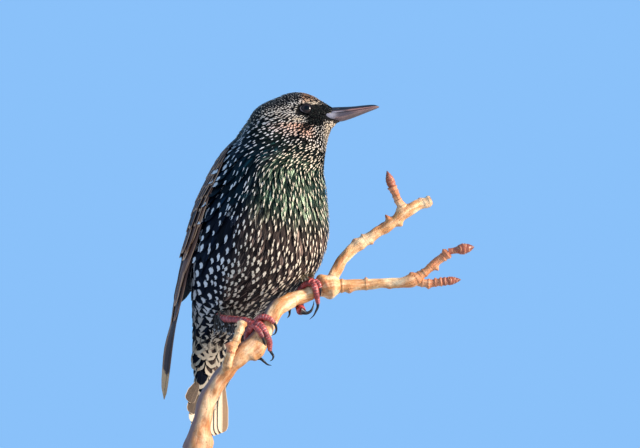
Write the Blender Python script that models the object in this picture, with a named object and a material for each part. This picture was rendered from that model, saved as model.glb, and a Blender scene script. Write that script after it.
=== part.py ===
"""A common starling in fresh winter plumage, perched on a cut length of twig over a plain display stand.

The sizes below are millimetres in the body's own frame: +X is the bird's left, -Y its front and
+Z up, with the middle of the trunk at the origin. place() turns them into metres above the floor.
"""

import math
import random

import bmesh
import bpy
import numpy as np

MM = 0.001
STANDING = 126.0  # height of the trunk's middle above the floor
GAP = 0.3  # clearance between neighbouring solids
TRIM_GAP = 1.15 * GAP  # clearance round a swollen copy, which shrinks a little at its corners
SEED = 17
WELD = 0.002  # corners closer than this are made one

# The trunk leans forward. Its sections stand square to this axis.
LEAN = math.radians(27.4)
AXIS = np.array([0.0, -math.sin(LEAN), math.cos(LEAN)])
BACK = np.array([0.0, math.cos(LEAN), math.sin(LEAN)])

# Height along AXIS, centre towards the back, half width, radius to the breast, radius to the back.
TRUNK = np.array(
    [
        (-88.0, -4.0, 8.5, 4.0, 4.0),
        (-75.0, 2.0, 9.5, 5.0, 5.0),
        (-65.0, 7.0, 10.5, 6.5, 6.0),
        (-55.0, 9.5, 12.0, 9.0, 8.5),
        (-45.0, 8.0, 16.0, 13.0, 12.0),
        (-36.0, 3.5, 21.5, 18.0, 18.0),
        (-25.0, 0.0, 27.2, 23.0, 23.5),
        (-14.0, -3.0, 31.3, 27.8, 28.0),
        (0.0, -4.0, 33.4, 32.8, 31.0),
        (15.0, -3.0, 33.0, 32.8, 31.0),
        (29.0, 0.0, 29.8, 29.8, 29.0),
        (42.0, 3.0, 25.2, 26.0, 24.6),
        (50.0, 4.5, 20.5, 19.5, 21.5),
        (58.0, 6.5, 16.0, 15.5, 17.0),
    ]
)
TRUNK_TOP = 11.0  # how far the trunk's rounded end rises past its last section

# The head is turned to the bird's left. Its own frame is forward, left and up from HEAD.
HEAD = np.array([3.0, -24.6, 61.5])
HEAD_TURN = math.radians(50.0)
FORWARD = np.array([math.sin(HEAD_TURN), -math.cos(HEAD_TURN), 0.0])
LEFT = np.array([math.cos(HEAD_TURN), math.sin(HEAD_TURN), 0.0])
UP = np.array([0.0, 0.0, 1.0])

# Skull and cheeks: (forward, up) of the centre and three half axes.
CRANIUM = ((3.0, -1.8), (15.0, 11.3, 11.6))
# Round cones in the head's middle plane: (forward, up, radius) at each end.
HEAD_CONES = (
    ((8.0, -1.0, 8.0), (21.5, -0.8, 3.6)),
    ((13.0, -6.0, 6.5), (23.8, -4.0, 1.7)),
    ((9.3, -9.2, 10.4), (5.0, -20.0, 12.8)),
    ((-5.0, -5.0, 10.0), (-11.0, -16.5, 14.0)),
)
HEAD_BLEND = 3.0
NECK_BLEND = 6.0

EYE = (8.0, 7.6, -0.8)  # forward, out and up of the eyeball's middle
EYE_AIM = (0.16, 1.0, 0.05)  # forward, out and up of the way it looks
EYE_RADIUS = 3.4
LID_RADIUS = 2.75
LID_LONG = 1.12  # the opening's length over its height
LID_THICK = 0.55
LID_PROUD = 0.5  # how far the lids stand out past the eyeball's own rim there
LID_STEPS = 18

# Bill sections: forward, top, mouth line, underside, half width.
BILL = np.array(
    [
        (13.5, 1.2, -2.4, -4.4, 4.0),
        (18.0, 1.9, -1.9, -4.8, 3.9),
        (22.0, 2.3, -1.4, -4.9, 3.6),
        (26.0, 2.45, -0.8, -4.6, 3.1),
        (31.0, 2.7, 0.1, -3.0, 2.5),
        (36.5, 3.3, 1.1, -0.8, 2.0),
        (41.5, 3.6, 2.1, 1.2, 1.5),
        (44.2, 3.2, 2.6, 2.2, 0.8),
    ]
)
BILL_STEPS = 9  # points round half of a section
BILL_ROUND = 0.85  # under one makes the sections squarer than an ellipse
BILL_LAP = 0.6  # the two halves of the bill's room in the head overlap by this
NOSTRIL = (25.6, 2.75, 1.0)
NOSTRIL_RADIUS = 1.0

# Rings of the skin: (x, y, z, turn, tilt) from the vent up to the face. Turn and tilt aim each plane.
SPINE = np.array(
    [
        (0.0, 37.0, -71.0, 0.0, 0.0),
        (0.0, 36.0, -62.0, 0.0, 4.0),
        (0.0, 33.0, -52.0, 0.0, 13.0),
        (0.0, 25.0, -41.0, 0.0, 22.0),
        (0.0, 12.5, -25.0, 0.0, 27.4),
        (0.0, 2.5, -8.0, 0.0, 27.4),
        (0.0, -6.0, 10.0, 0.0, 27.4),
        (0.0, -13.5, 27.0, 0.0, 27.4),
        (0.0, -18.5, 38.5, 0.0, 27.4),
        (1.0, -21.5, 45.5, 25.0, 29.0),
        (3.0, -24.6, 51.2, 50.0, 31.2),
        (8.0, -28.7, 54.8, 50.0, 40.0),
        (12.1, -32.3, 57.9, 50.0, 48.0),
        (16.6, -36.0, 59.5, 50.0, 56.0),
        (20.4, -39.2, 60.2, 50.0, 64.0),
    ]
)
VENT_END, TORSO_START, TORSO_END, HEAD_START, NAPE, FACE = 0.0, 3.0, 8.0, 10.0, 11.0, 14.0
# Lengths of the body: node, first and last place on the spine, rings, sides.
BODY_PARTS = (
    ("vent", VENT_END, TORSO_START, 9, 22),
    ("torso", TORSO_START, TORSO_END, 15, 26),
    ("neck", TORSO_END, HEAD_START, 5, 26),
    ("head", HEAD_START, FACE, 13, 24),
)
CUTTER_RINGS, CUTTER_SIDES = 34, 28
FARTHEST = 55.0  # no skin is farther from the spine than this
HALVINGS = 32  # steps of the search for the skin along a ray

# The folded right wing's bed: height, leading edge (x, y), trailing edge (x, y), bulge between them.
WING = np.array(
    [
        (-78.0, -15.4, 52.2, -13.9, 54.7, 0.3),
        (-70.0, -18.6, 45.8, -12.9, 54.5, 0.5),
        (-60.0, -21.2, 39.8, -12.5, 52.8, 0.8),
        (-50.0, -23.6, 34.0, -12.1, 51.0, 1.2),
        (-40.0, -25.7, 28.0, -11.4, 48.4, 1.8),
        (-30.0, -28.9, 18.6, -9.8, 44.0, 3.2),
        (-15.0, -32.1, 9.6, -4.8, 36.0, 5.6),
        (0.0, -33.4, -1.4, -4.6, 28.6, 6.4),
        (15.0, -32.3, -6.8, -7.6, 23.0, 5.4),
        (27.0, -29.4, -10.4, -11.2, 16.8, 4.2),
        (37.0, -26.1, -11.4, -15.2, 9.7, 2.2),
        (46.0, -21.6, -11.2, -17.8, 0.5, 0.6),
    ]
)
# The bed's plate: height, outer and inner lift, and where it starts and stops across.
WING_BED = (
    (43.0, 0.4, -3.0, 0.25, 0.70),
    (39.0, 1.4, -4.5, 0.12, 0.85),
    (31.0, 2.0, -5.0, 0.02, 0.95),
    (20.0, 2.3, -5.0, 0.00, 1.00),
    (8.0, 2.3, -5.0, 0.00, 1.00),
    (-5.0, 2.2, -5.0, 0.00, 0.98),
    (-16.0, 1.8, -3.5, 0.03, 0.94),
    (-27.0, 1.2, -0.9, 0.10, 0.86),
    (-37.0, 0.36, 0.02, 0.14, 0.30),
)
BED_STEPS = 6
VANE_THICK = 0.5
LAYER = 0.33  # from one long vane to the one that lies over it
# Share of its width along a feather: (places, widths).
LONG_SHAPE = ((0.0, 0.5, 0.8, 1.0), (0.7, 1.0, 0.85, 0.25))
ROUND_SHAPE = ((0.0, 0.6, 1.0), (0.7, 1.0, 0.45))
# Rows of flight feathers, outermost first: name, how many, root's height, first tip's height, rise from
# one tip to the next, unevenness of the tips, width, rings along each, thickness.
FLIGHT_ROWS = (
    ("primary", 6, 0.0, -77.0, 6.2, 0.5, 8.0, 6, VANE_THICK),
    ("secondary", 4, 5.0, -41.0, 3.8, 0.5, 9.5, 5, VANE_THICK),
    ("tertial", 3, 11.0, -30.0, 7.0, 0.0, 11.0, 5, 0.6),
)
# Place across the bed at root and tip, and lift at root and tip, as (first feather's, step to the next).
FLIGHT_PLACES = {
    "primary": ((0.10, 0.06), (0.30, 0.075), (0.3, LAYER), (0.2, LAYER)),
    "secondary": ((0.36, 0.11), (0.50, 0.10), (0.8, LAYER), (2.6, LAYER)),
    "tertial": ((0.62, 0.10), (0.78, 0.06), (1.3, 0.2), (4.1, LAYER)),
}
# Rows of coverts: name, how many, root and tip height, width, lift at each, first and last place across.
COVERT_ROWS = (
    ("greater", 6, 12.0, -9.0, 7.2, 1.5, 3.2, 0.06, 0.90),
    ("median", 5, 21.0, 6.0, 8.0, 1.6, 3.2, 0.08, 0.88),
    ("lesser", 4, 31.0, 17.0, 8.0, 1.4, 3.0, 0.10, 0.86),
    ("shoulder", 2, 39.5, 28.0, 8.5, 0.9, 2.7, 0.20, 0.76),
)
COVERT_THICK = 0.55
COVERT_UNEVEN = 0.8
COVERT_RISE = 2.0  # from a row's first tip to its last
COVERT_SLANT = 0.02
COVERT_LAYER = 0.7  # every other covert lies this much higher

# The tail hangs from the vent's end, a little lower on the bird's left.
TAIL_TOP = -71.0
TAIL_MIDDLE = 36.6
TAIL_SHIFT = -3.4  # the tail hangs towards the bird's right
TAIL_HALF = 9.9  # from the middle to the outermost feather's shaft
# The core that the feathers are rooted in: depth below TAIL_TOP, half width, half thickness.
TAIL_ROOT = ((GAP / 2.0, 9.0, 4.0), (4.0, 9.0, 3.4), (9.0, 8.4, 2.6), (13.0, 7.4, 1.8))
TAIL_SIDES = 16
TAIL_SUNK = 2.0  # the feathers start this far inside the core
# Heights of the twelve feathers' tips, from the bird's right to its left.
TAIL_TIPS = (-80.0, -85.5, -90.0, -93.5, -95.5, -96.3, -96.6, -96.6, -96.4, -96.0, -95.4, -94.6)
TAIL_UNEVEN = 0.3
TAIL_WIDTH = 6.6
TAIL_SHAPE = ((0.0, 0.5, 0.85, 1.0), (0.5, 1.0, 1.0, 0.45))
TAIL_LAYER = 0.7  # from one tail feather to the next one out, which hangs before it
TAIL_BACK = 1.4  # the middle pair hangs this far behind TAIL_MIDDLE
TAIL_COVERTS = 5
TAIL_COVERT_STEP = 3.4
TAIL_COVERT_LENGTH = 13.0
TAIL_COVERT_WIDTHS = np.array([4.2, 5.2, 2.0])

# The perch runs up from the stand to the bird's left: (x, y, z, radius) along its axis.
LIMB = np.array(
    [
        (-31.7, 2.0, -103.9, 4.8),
        (-31.3, 0.2, -95.7, 4.45),
        (-30.6, -2.1, -86.8, 4.25),
        (-29.7, -4.5, -79.3, 4.15),
        (-27.6, -7.7, -73.5, 4.05),
        (-23.6, -13.0, -64.8, 4.0),
        (-19.4, -17.2, -59.1, 4.5),
        (-14.7, -20.3, -54.1, 4.4),
        (-10.4, -22.0, -48.0, 4.1),
        (-6.4, -23.1, -40.3, 4.0),
        (-3.3, -24.0, -36.3, 4.0),
        (-0.1, -25.2, -34.2, 3.8),
        (4.7, -25.7, -32.0, 3.5),
        (8.6, -26.7, -30.5, 3.3),
        (12.5, -28.0, -28.7, 3.2),
        (15.6, -29.0, -27.2, 3.2),
    ]
)
LIMB_REACH = np.concatenate([[0.0], np.cumsum(np.linalg.norm(np.diff(LIMB[:, :3], axis=0), axis=1))])
LIMB_STEP = 0.5  # half the length over which the limb's direction is read
LIMB_END = -105.0  # height of the sawn end
GRIPPED = 5  # the first of the limb's stations that lies under the belly
PERCH_ROOM = 6.6  # feathers stand this far clear of the perch's axis
PERCH_SOFT = 4.0
KNOB = np.array(
    [
        (17.6, -29.2, -26.6, 3.4),
        (20.6, -30.2, -25.2, 5.6),
        (24.0, -31.6, -24.4, 5.8),
        (27.2, -33.4, -24.0, 3.8),
    ]
)
TWIG_LOW = np.array(
    [
        (27.9, -33.9, -23.9, 3.2),
        (31.5, -36.5, -23.9, 2.9),
        (39.4, -42.0, -23.2, 2.6),
        (47.1, -49.6, -22.8, 2.4),
        (54.5, -57.4, -21.3, 2.9),
        (58.0, -60.4, -18.4, 2.2),
        (62.2, -65.4, -13.2, 1.9),
        (66.2, -71.0, -8.2, 2.2),
    ]
)
FORK_LOW = np.array([(57.6, -59.4, -22.6, 2.0), (61.4, -63.0, -23.0, 1.8), (65.2, -67.0, -22.4, 1.9)])
TWIG_HIGH = np.array(
    [
        (27.2, -27.0, -20.4, 2.6),
        (34.0, -30.1, -8.6, 2.8),
        (43.2, -37.0, 0.6, 2.8),
        (52.6, -45.2, 8.6, 2.7),
        (57.9, -50.0, 14.8, 3.1),
        (62.6, -53.8, 17.6, 2.6),
        (67.4, -57.4, 20.2, 2.5),
    ]
)
SPUR_HIGH = np.array([(55.6, -48.6, 16.2, 2.3), (52.4, -47.6, 22.8, 1.9), (50.6, -47.4, 26.6, 2.2)])
SPUR_LIMB = np.array(
    [
        (-26.2, -13.3, -65.9, 2.3),
        (-26.8, -16.1, -62.7, 2.1),
        (-26.3, -18.2, -57.5, 1.9),
        (-25.1, -18.9, -53.2, 1.8),
        (-23.5, -20.2, -48.4, 1.75),
        (-21.6, -20.8, -44.2, 1.9),
    ]
)
# Buds: start, tip and widest radius.
BUDS = {
    "bud_low": ((66.6, -71.8, -7.6), (74.8, -79.9, -5.6), 2.7),
    "bud_fork": ((65.9, -67.7, -22.2), (71.6, -73.6, -21.4), 2.3),
    "bud_high": ((50.2, -47.3, 27.2), (47.2, -47.1, 34.2), 2.3),
}
# Share of a bud's length, and of its widest radius there.
BUD_SHAPE = ((0.0, 0.62), (0.12, 0.85), (0.32, 1.0), (0.55, 0.84), (0.78, 0.5), (1.0, 0.08))

# Heel and ball of each foot: (x, y, z, radius) down the scaly leg.
LEG_RIGHT = np.array(
    [
        (-18.6, 9.9, -38.6, 2.1),
        (-18.2, 3.4, -40.3, 1.75),
        (-18.4, -5.5, -41.4, 1.55),
        (-17.6, -12.6, -42.4, 1.55),
        (-16.8, -18.3, -43.8, 1.8),
    ]
)
LEG_LEFT = np.array([(14.5, -15.5, -14.5, 2.4), (14.8, -21.4, -18.4, 2.0), (13.9, -26.7, -22.0, 1.8)])
# The feet hold the limb, so toes and claws are set out on it. Each station is (along, turn, clear, radius):
# millimetres along the limb's axis, degrees from its top over the front, clearance from the bark, thickness.
HUBS = {"right": (66.4, 4, 0.3, 1.95), "left": (101.6, 28, 0.3, 1.95)}
TOES = {
    "right_inner": (
        (67.2, -3, 0.3, 1.5), (70.7, 12, 0.3, 1.4), (71.8, 40, 0.3, 1.35),
        (72.0, 69, 0.3, 1.25), (71.4, 98, 0.4, 1.05),
    ),
    "right_middle": (
        (66.9, 1, 0.3, 1.5), (67.5, 36, 0.4, 1.45), (66.5, 65, 0.4, 1.4),
        (64.8, 95, 0.3, 1.3), (63.6, 134, 0.5, 1.2), (61.4, 171, 2.2, 1.05),
    ),
    "right_outer": (
        (65.8, 10, 0.4, 1.5), (64.8, 39, 0.4, 1.35), (63.8, 66, 0.3, 1.25),
        (62.7, 92, 0.3, 1.05),
    ),
    "right_hind": (
        (66.0, 4, 0.4, 1.6), (63.1, -10, 0.3, 1.6), (60.0, -49, 0.5, 1.55),
        (57.3, -83, 0.5, 1.45), (56.4, -124, 0.4, 1.35), (56.3, -172, 0.6, 1.2),
    ),
    "left_inner": (
        (101.0, 24, 0.3, 1.5), (99.6, -2, 0.3, 1.4), (97.4, -45, 0.4, 1.35),
        (93.7, -82, 0.3, 1.25), (89.6, -128, 0.4, 1.05),
    ),
    "left_middle": (
        (101.6, 34, 0.3, 1.5), (101.2, 63, 0.4, 1.45), (100.7, 96, 0.3, 1.35),
        (100.5, 135, 0.4, 1.25), (101.0, 172, 1.6, 1.05),
    ),
    "left_outer": (
        (101.8, 35, 0.5, 1.5), (103.2, 39, 0.8, 1.35), (103.6, 61, 0.9, 1.25),
        (103.4, 84, 0.8, 1.05),
    ),
    "left_hind": (
        (101.8, 20, 0.4, 1.6), (100.8, -40, 0.4, 1.6), (96.9, -88, 0.4, 1.7),
        (94.3, -126, 0.4, 2.0), (92.4, -176, 0.9, 2.3),
    ),
}
CLAWS = {
    "right_inner": (
        (70.6, 117, 0.6, 0.8), (69.5, 134, 0.9, 0.65), (68.1, 146, 1.0, 0.45),
        (66.4, 138, 0.6, 0.1),
    ),
    "right_middle": (
        (61.0, 172, 3.9, 0.8), (60.4, 172, 5.8, 0.65), (59.4, 175, 6.6, 0.42),
        (58.5, 178, 6.6, 0.1),
    ),
    "right_outer": (
        (61.9, 109, 0.4, 0.75), (61.3, 128, 0.5, 0.6), (60.7, 148, 0.6, 0.4),
        (59.8, 166, 0.5, 0.1),
    ),
    "right_hind": (
        (56.8, -181, 2.4, 0.85), (57.0, -181, 4.5, 0.7), (57.3, -181, 6.8, 0.45),
        (58.0, -182, 8.6, 0.1),
    ),
    "left_inner": (
        (87.6, -152, 0.8, 0.8), (85.6, -168, 1.4, 0.62), (83.2, -182, 2.1, 0.4),
        (80.0, -192, 2.6, 0.1),
    ),
    "left_middle": (
        (100.3, 178, 3.7, 0.8), (98.7, 178, 5.3, 0.65), (96.7, 177, 7.0, 0.42),
        (94.3, 177, 8.3, 0.1),
    ),
    "left_outer": (
        (103.0, 103, 0.8, 0.75), (102.6, 122, 0.8, 0.6), (101.8, 148, 0.7, 0.4),
        (101.0, 170, 0.9, 0.1),
    ),
    "left_hind": (
        (94.4, -183, 4.1, 1.0), (96.2, -183, 4.1, 0.8), (98.2, -183, 2.8, 0.5),
        (99.8, -183, 0.9, 0.1),
    ),
}
CLAW_GAP = 0.45  # between the end of a toe and its claw
CLAW_BASE = 0.86  # the claw's thickness over the toe's where it starts

STAND_RADIUS = 60.0
STAND_THICK = 11.0
STAND_EDGE = 2.0
STAND_FOOT = 1.0  # the chamfer round the underside
ROD_RADIUS = 2.5


# ---------------------------------------------------------------- surfaces


def smooth_through(x, xs, ys):
    """Cubic Hermite curve through the stations (xs, ys), with slopes from their neighbours."""
    slopes = np.gradient(ys, xs)
    x = np.clip(x, xs[0], xs[-1])
    i = np.clip(np.searchsorted(xs, x) - 1, 0, len(xs) - 2)
    span = xs[i + 1] - xs[i]
    t = (x - xs[i]) / span
    rise = 3.0 * t**2 - 2.0 * t**3
    start = t * (1.0 - t) ** 2 * span * slopes[i]
    end = t**2 * (t - 1.0) * span * slopes[i + 1]
    return ys[i] * (1.0 - rise) + ys[i + 1] * rise + start + end


def soft_min(a, b, width):
    """The lower of a and b, rounded where they are within width of each other."""
    h = np.clip(0.5 + 0.5 * (b - a) / width, 0.0, 1.0)
    return b * (1.0 - h) + a * h - width * h * (1.0 - h)


def unit(v):
    """The vectors at length one."""
    v = np.asarray(v, dtype=float)
    return v / np.linalg.norm(v, axis=-1, keepdims=True)


def trunk_field(p):
    """About the distance outside the trunk, negative inside it."""
    height = p @ AXIS
    depth = p @ BACK
    stations = TRUNK[:, 0]
    centre, side, front, rear = (smooth_through(height, stations, TRUNK[:, i]) for i in range(1, 5))
    radius = np.where(depth < centre, front, rear)
    over = np.maximum(height - stations[-1], 0.0) / TRUNK_TOP
    ratio = np.sqrt((p[..., 0] / side) ** 2 + ((depth - centre) / radius) ** 2 + over**2)
    return (ratio - 1.0) * np.minimum(side, radius)


def head_field(p):
    """About the distance outside the head: an egg for the skull, and cones for face, chin and throat."""
    away = p - HEAD
    f, s, u = away @ FORWARD, away @ LEFT, away @ UP
    (cf, cu), (af, a_s, au) = CRANIUM
    field = (np.sqrt(((f - cf) / af) ** 2 + (s / a_s) ** 2 + ((u - cu) / au) ** 2) - 1.0) * min(a_s, au)
    for (f0, u0, r0), (f1, u1, r1) in HEAD_CONES:
        run = (f1 - f0) ** 2 + (u1 - u0) ** 2
        t = np.clip(((f - f0) * (f1 - f0) + (u - u0) * (u1 - u0)) / run, 0.0, 1.0)
        gap = np.sqrt((f - f0 - t * (f1 - f0)) ** 2 + s**2 + (u - u0 - t * (u1 - u0)) ** 2)
        field = soft_min(field, gap - (r0 + t * (r1 - r0)), HEAD_BLEND)
    return field


def perch_field(p):
    """The distance from the perch's axis, less the room that the feathers leave round it."""
    nearest = np.full(p.shape[:-1], 1e3)
    for a, b in zip(LIMB[GRIPPED:-1, :3], LIMB[GRIPPED + 1 :, :3]):
        t = np.clip(((p - a) @ (b - a)) / ((b - a) @ (b - a)), 0.0, 1.0)
        nearest = np.minimum(nearest, np.linalg.norm(p - a - t[..., None] * (b - a), axis=-1))
    return nearest - PERCH_ROOM


def body_field(p):
    """The whole feathered body: trunk and head in one, pressed in where the perch passes."""
    body = soft_min(trunk_field(p), head_field(p), NECK_BLEND)
    return -soft_min(-body, perch_field(p), PERCH_SOFT)


def body_slope(p):
    """The body field's gradient, by central differences."""
    step = 0.05
    moves = np.eye(3) * step
    return np.stack([body_field(p + m) - body_field(p - m) for m in moves], -1) / (2.0 * step)


def ring_frames(t):
    """Centre, the two axes and the normal of the skin's ring planes at spine places t."""
    places = np.arange(len(SPINE), dtype=float)
    x, y, z, turn, tilt = (smooth_through(t, places, SPINE[:, i]) for i in range(5))
    turn, tilt = np.radians(turn), np.radians(tilt)
    nothing = np.zeros_like(turn)
    across = np.stack([np.cos(turn), np.sin(turn), nothing], -1)
    normal = np.stack([np.sin(tilt) * np.sin(turn), -np.sin(tilt) * np.cos(turn), np.cos(tilt)], -1)
    return np.stack([x, y, z], -1), across, np.cross(normal, across), normal


def skin_rings(t, sides, swell=0.0, shift=0.0):
    """Rings of points where rays from the spine leave the body, swell outside its surface."""
    centre, across, rise, normal = ring_frames(np.asarray(t, dtype=float))
    centre = centre + normal * np.broadcast_to(shift, len(centre))[:, None]
    angle = np.arange(sides) * 2.0 * np.pi / sides
    ray = np.cos(angle)[None, :, None] * across[:, None] + np.sin(angle)[None, :, None] * rise[:, None]
    near = np.zeros(ray.shape[:2])
    far = np.full(ray.shape[:2], FARTHEST)
    for _ in range(HALVINGS):
        middle = 0.5 * (near + far)
        inside = body_field(centre[:, None] + ray * middle[..., None]) < 0.0
        near = np.where(inside, middle, near)
        far = np.where(inside, far, middle)
    points = centre[:, None] + ray * near[..., None]
    if swell:
        slope = body_slope(points)
        flat = slope - (slope * normal[:, None]).sum(-1, keepdims=True) * normal[:, None]
        points = points + swell * flat / (slope * slope).sum(-1, keepdims=True) ** 0.5
    return points


# ---------------------------------------------------------------- meshes


def place(points):
    """Body millimetres to world metres, with the stand's underside on the floor."""
    return (np.asarray(points, dtype=float) + (0.0, 0.0, STANDING)) * MM


def finish(name, colour, roughness, metallic=0.0):
    """A plain material for one sub-part."""
    material = bpy.data.materials.new(name)
    material.use_nodes = True
    shader = material.node_tree.nodes["Principled BSDF"]
    shader.inputs["Base Color"].default_value = (*colour, 1.0)
    shader.inputs["Roughness"].default_value = roughness
    shader.inputs["Metallic"].default_value = metallic
    return material


def solid(name, points, faces, material=None):
    """A mesh object from body millimetres, shaded smooth with sharp creases."""
    mesh = bpy.data.meshes.new(name)
    mesh.from_pydata([tuple(p) for p in place(points)], [], faces)
    mesh.update()
    part = bpy.data.objects.new(name, mesh)
    bpy.context.scene.collection.objects.link(part)
    if material:
        mesh.materials.append(material)
    mesh.shade_smooth()
    return part


def discard(part):
    """Removes a part and its mesh."""
    mesh = part.data
    bpy.data.objects.remove(part)
    bpy.data.meshes.remove(mesh)


def settle(part):
    """Replaces a part's mesh by what its modifiers make of it."""
    graph = bpy.context.evaluated_depsgraph_get()
    mesh = bpy.data.meshes.new_from_object(part.evaluated_get(graph))
    part.modifiers.clear()
    part.data = mesh


def loft(rings):
    """Points and triangles of a closed solid through rings of equal count, with a fan on each end."""
    rings = np.asarray(rings, dtype=float)
    count, sides = rings.shape[:2]
    points = np.concatenate([rings.reshape(-1, 3), rings[0].mean(0)[None], rings[-1].mean(0)[None]])
    first, last = len(points) - 2, len(points) - 1
    faces = []
    for i in range(count - 1):
        for j in range(sides):
            k = (j + 1) % sides
            a, b, c, d = i * sides + j, i * sides + k, (i + 1) * sides + k, (i + 1) * sides + j
            faces.append((a, b, c))
            faces.append((a, c, d))
    for j in range(sides):
        k = (j + 1) % sides
        faces.append((first, k, j))
        faces.append((last, (count - 1) * sides + j, (count - 1) * sides + k))
    return points, faces


def outward_faces(part):
    """Turns a closed mesh's faces to point out."""
    mesh = bmesh.new()
    mesh.from_mesh(part.data)
    bmesh.ops.recalc_face_normals(mesh, faces=mesh.faces)
    mesh.to_mesh(part.data)
    mesh.free()


def tube_rings(path, sides):
    """Rings round a path of (x, y, z, radius), in planes that halve each bend."""
    path = np.asarray(path, dtype=float)
    middle, radius = path[:, :3], path[:, 3]
    along = unit(np.gradient(middle, axis=0))
    side = unit(np.cross(along[0], UP if abs(along[0] @ UP) < 0.9 else LEFT))
    angle = np.arange(sides) * 2.0 * np.pi / sides
    rings = []
    for i, direction in enumerate(along):
        side = unit(side - (side @ direction) * direction)
        other = np.cross(direction, side)
        rings.append(middle[i] + radius[i] * (np.cos(angle)[:, None] * side + np.sin(angle)[:, None] * other))
    return rings


def tube(name, path, sides, material=None):
    """A closed solid round a path of (x, y, z, radius)."""
    return solid(name, *loft(tube_rings(path, sides)), material)


def smooth_path(path, count):
    """The path's stations read again at count places of one smooth curve."""
    path = np.asarray(path, dtype=float)
    reach = np.concatenate([[0.0], np.cumsum(np.linalg.norm(np.diff(path[:, :3], axis=0), axis=1))])
    at = np.linspace(0.0, reach[-1], count)
    return np.stack([smooth_through(at, reach, path[:, i]) for i in range(path.shape[1])], -1)


def ball(name, centre, radius, material, segments, rings):
    """A sphere with its poles up and down."""
    turn = np.arange(segments) * 2.0 * np.pi / segments
    tilt = np.linspace(0.0, np.pi, rings + 2)[1:-1]
    stack = np.stack(
        [
            np.sin(tilt)[:, None] * np.cos(turn),
            np.sin(tilt)[:, None] * np.sin(turn),
            np.broadcast_to(-np.cos(tilt)[:, None], (rings, segments)),
        ],
        -1,
    )
    pole = np.array([0.0, 0.0, 1.0])
    points, faces = loft(centre + stack * radius)
    points[-2] = centre - pole * radius
    points[-1] = centre + pole * radius
    return solid(name, points, faces, material)


def ring_tube(name, rim, outward, thick, sides=6):
    """A closed ring of tube round a loop of points."""
    count = len(rim)
    turn = np.arange(sides)[None, :, None] * 2.0 * np.pi / sides
    away = unit(rim - rim.mean(0))[:, None]
    points = rim[:, None] + thick * (np.cos(turn) * away + np.sin(turn) * outward)
    faces = []
    for i in range(count):
        for j in range(sides):
            a, b = i * sides + j, i * sides + (j + 1) % sides
            c, d = (i + 1) % count * sides + (j + 1) % sides, (i + 1) % count * sides + j
            faces.append((a, b, c))
            faces.append((a, c, d))
    part = solid(name, points.reshape(-1, 3), faces)
    outward_faces(part)
    return part


def keep_largest(part):
    """Drops every closed surface but the one with the most volume, and makes the rest triangles."""
    mesh = bmesh.new()
    mesh.from_mesh(part.data)
    bmesh.ops.triangulate(mesh, faces=mesh.faces)
    left = set(mesh.faces)
    groups = []
    while left:
        group = [left.pop()]
        for face in group:
            for edge in face.edges:
                for other in edge.link_faces:
                    if other in left:
                        left.remove(other)
                        group.append(other)
        groups.append(group)

    def volume(group):
        return abs(sum(f.verts[0].co.dot(f.verts[1].co.cross(f.verts[2].co)) for f in group))

    largest = max(groups, key=volume)
    for group in groups:
        if group is not largest:
            bmesh.ops.delete(mesh, geom=group, context="FACES")
    bmesh.ops.remove_doubles(mesh, verts=mesh.verts, dist=WELD * MM)
    bmesh.ops.dissolve_degenerate(mesh, edges=mesh.edges, dist=WELD * MM)
    bmesh.ops.triangulate(mesh, faces=mesh.faces)
    mesh.to_mesh(part.data)
    mesh.free()


def cut(part, cutter, keep_cutter=False):
    """Takes the cutter out of the part."""
    modifier = part.modifiers.new("cut", "BOOLEAN")
    modifier.operation = "DIFFERENCE"
    modifier.solver = "EXACT"
    modifier.object = cutter
    settle(part)
    if not keep_cutter:
        discard(cutter)


def trim(part, neighbour):
    """Takes a copy of the neighbour, swollen by the gap, out of the part."""
    swollen = bpy.data.objects.new("swollen", neighbour.data.copy())
    bpy.context.scene.collection.objects.link(swollen)
    mesh = bmesh.new()
    mesh.from_mesh(swollen.data)
    mesh.normal_update()
    for vertex in mesh.verts:
        vertex.co += vertex.normal * TRIM_GAP * MM
    mesh.to_mesh(swollen.data)
    mesh.free()
    cut(part, swollen)


def fuse(part, pieces, solver="EXACT"):
    """Joins closed pieces to the part in one union, and removes them."""
    group = bpy.data.collections.new(part.name + " pieces")
    bpy.context.scene.collection.children.link(group)
    for piece in pieces:
        bpy.context.scene.collection.objects.unlink(piece)
        group.objects.link(piece)
    modifier = part.modifiers.new("join", "BOOLEAN")
    modifier.operation = "UNION"
    modifier.solver = solver
    modifier.operand_type = "COLLECTION"
    modifier.collection = group
    settle(part)
    for piece in pieces:
        discard(piece)
    bpy.data.collections.remove(group)
    keep_largest(part)


# ---------------------------------------------------------------- body and head


def body_part(name, start, end, rings, sides, material):
    """One length of the body between two places on the spine, drawn back by half a gap at each end."""
    t = np.linspace(start, end, rings)
    shift = np.zeros(rings)
    shift[0], shift[-1] = GAP / 2.0, -GAP / 2.0
    return solid(name, *loft(skin_rings(t, sides, shift=shift)), material)


def body_cutter():
    """The body from vent to nape, a gap larger, for what lies against it."""
    t = np.linspace(VENT_END, NAPE, CUTTER_RINGS)
    cutter = solid("body_cutter", *loft(skin_rings(t, CUTTER_SIDES, swell=GAP)))
    cutter.hide_render = True
    cutter.display_type = "WIRE"
    return cutter


def head_point(f, s, u):
    """A point of the head's own frame."""
    return HEAD + f * FORWARD + s * LEFT + u * UP


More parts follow.
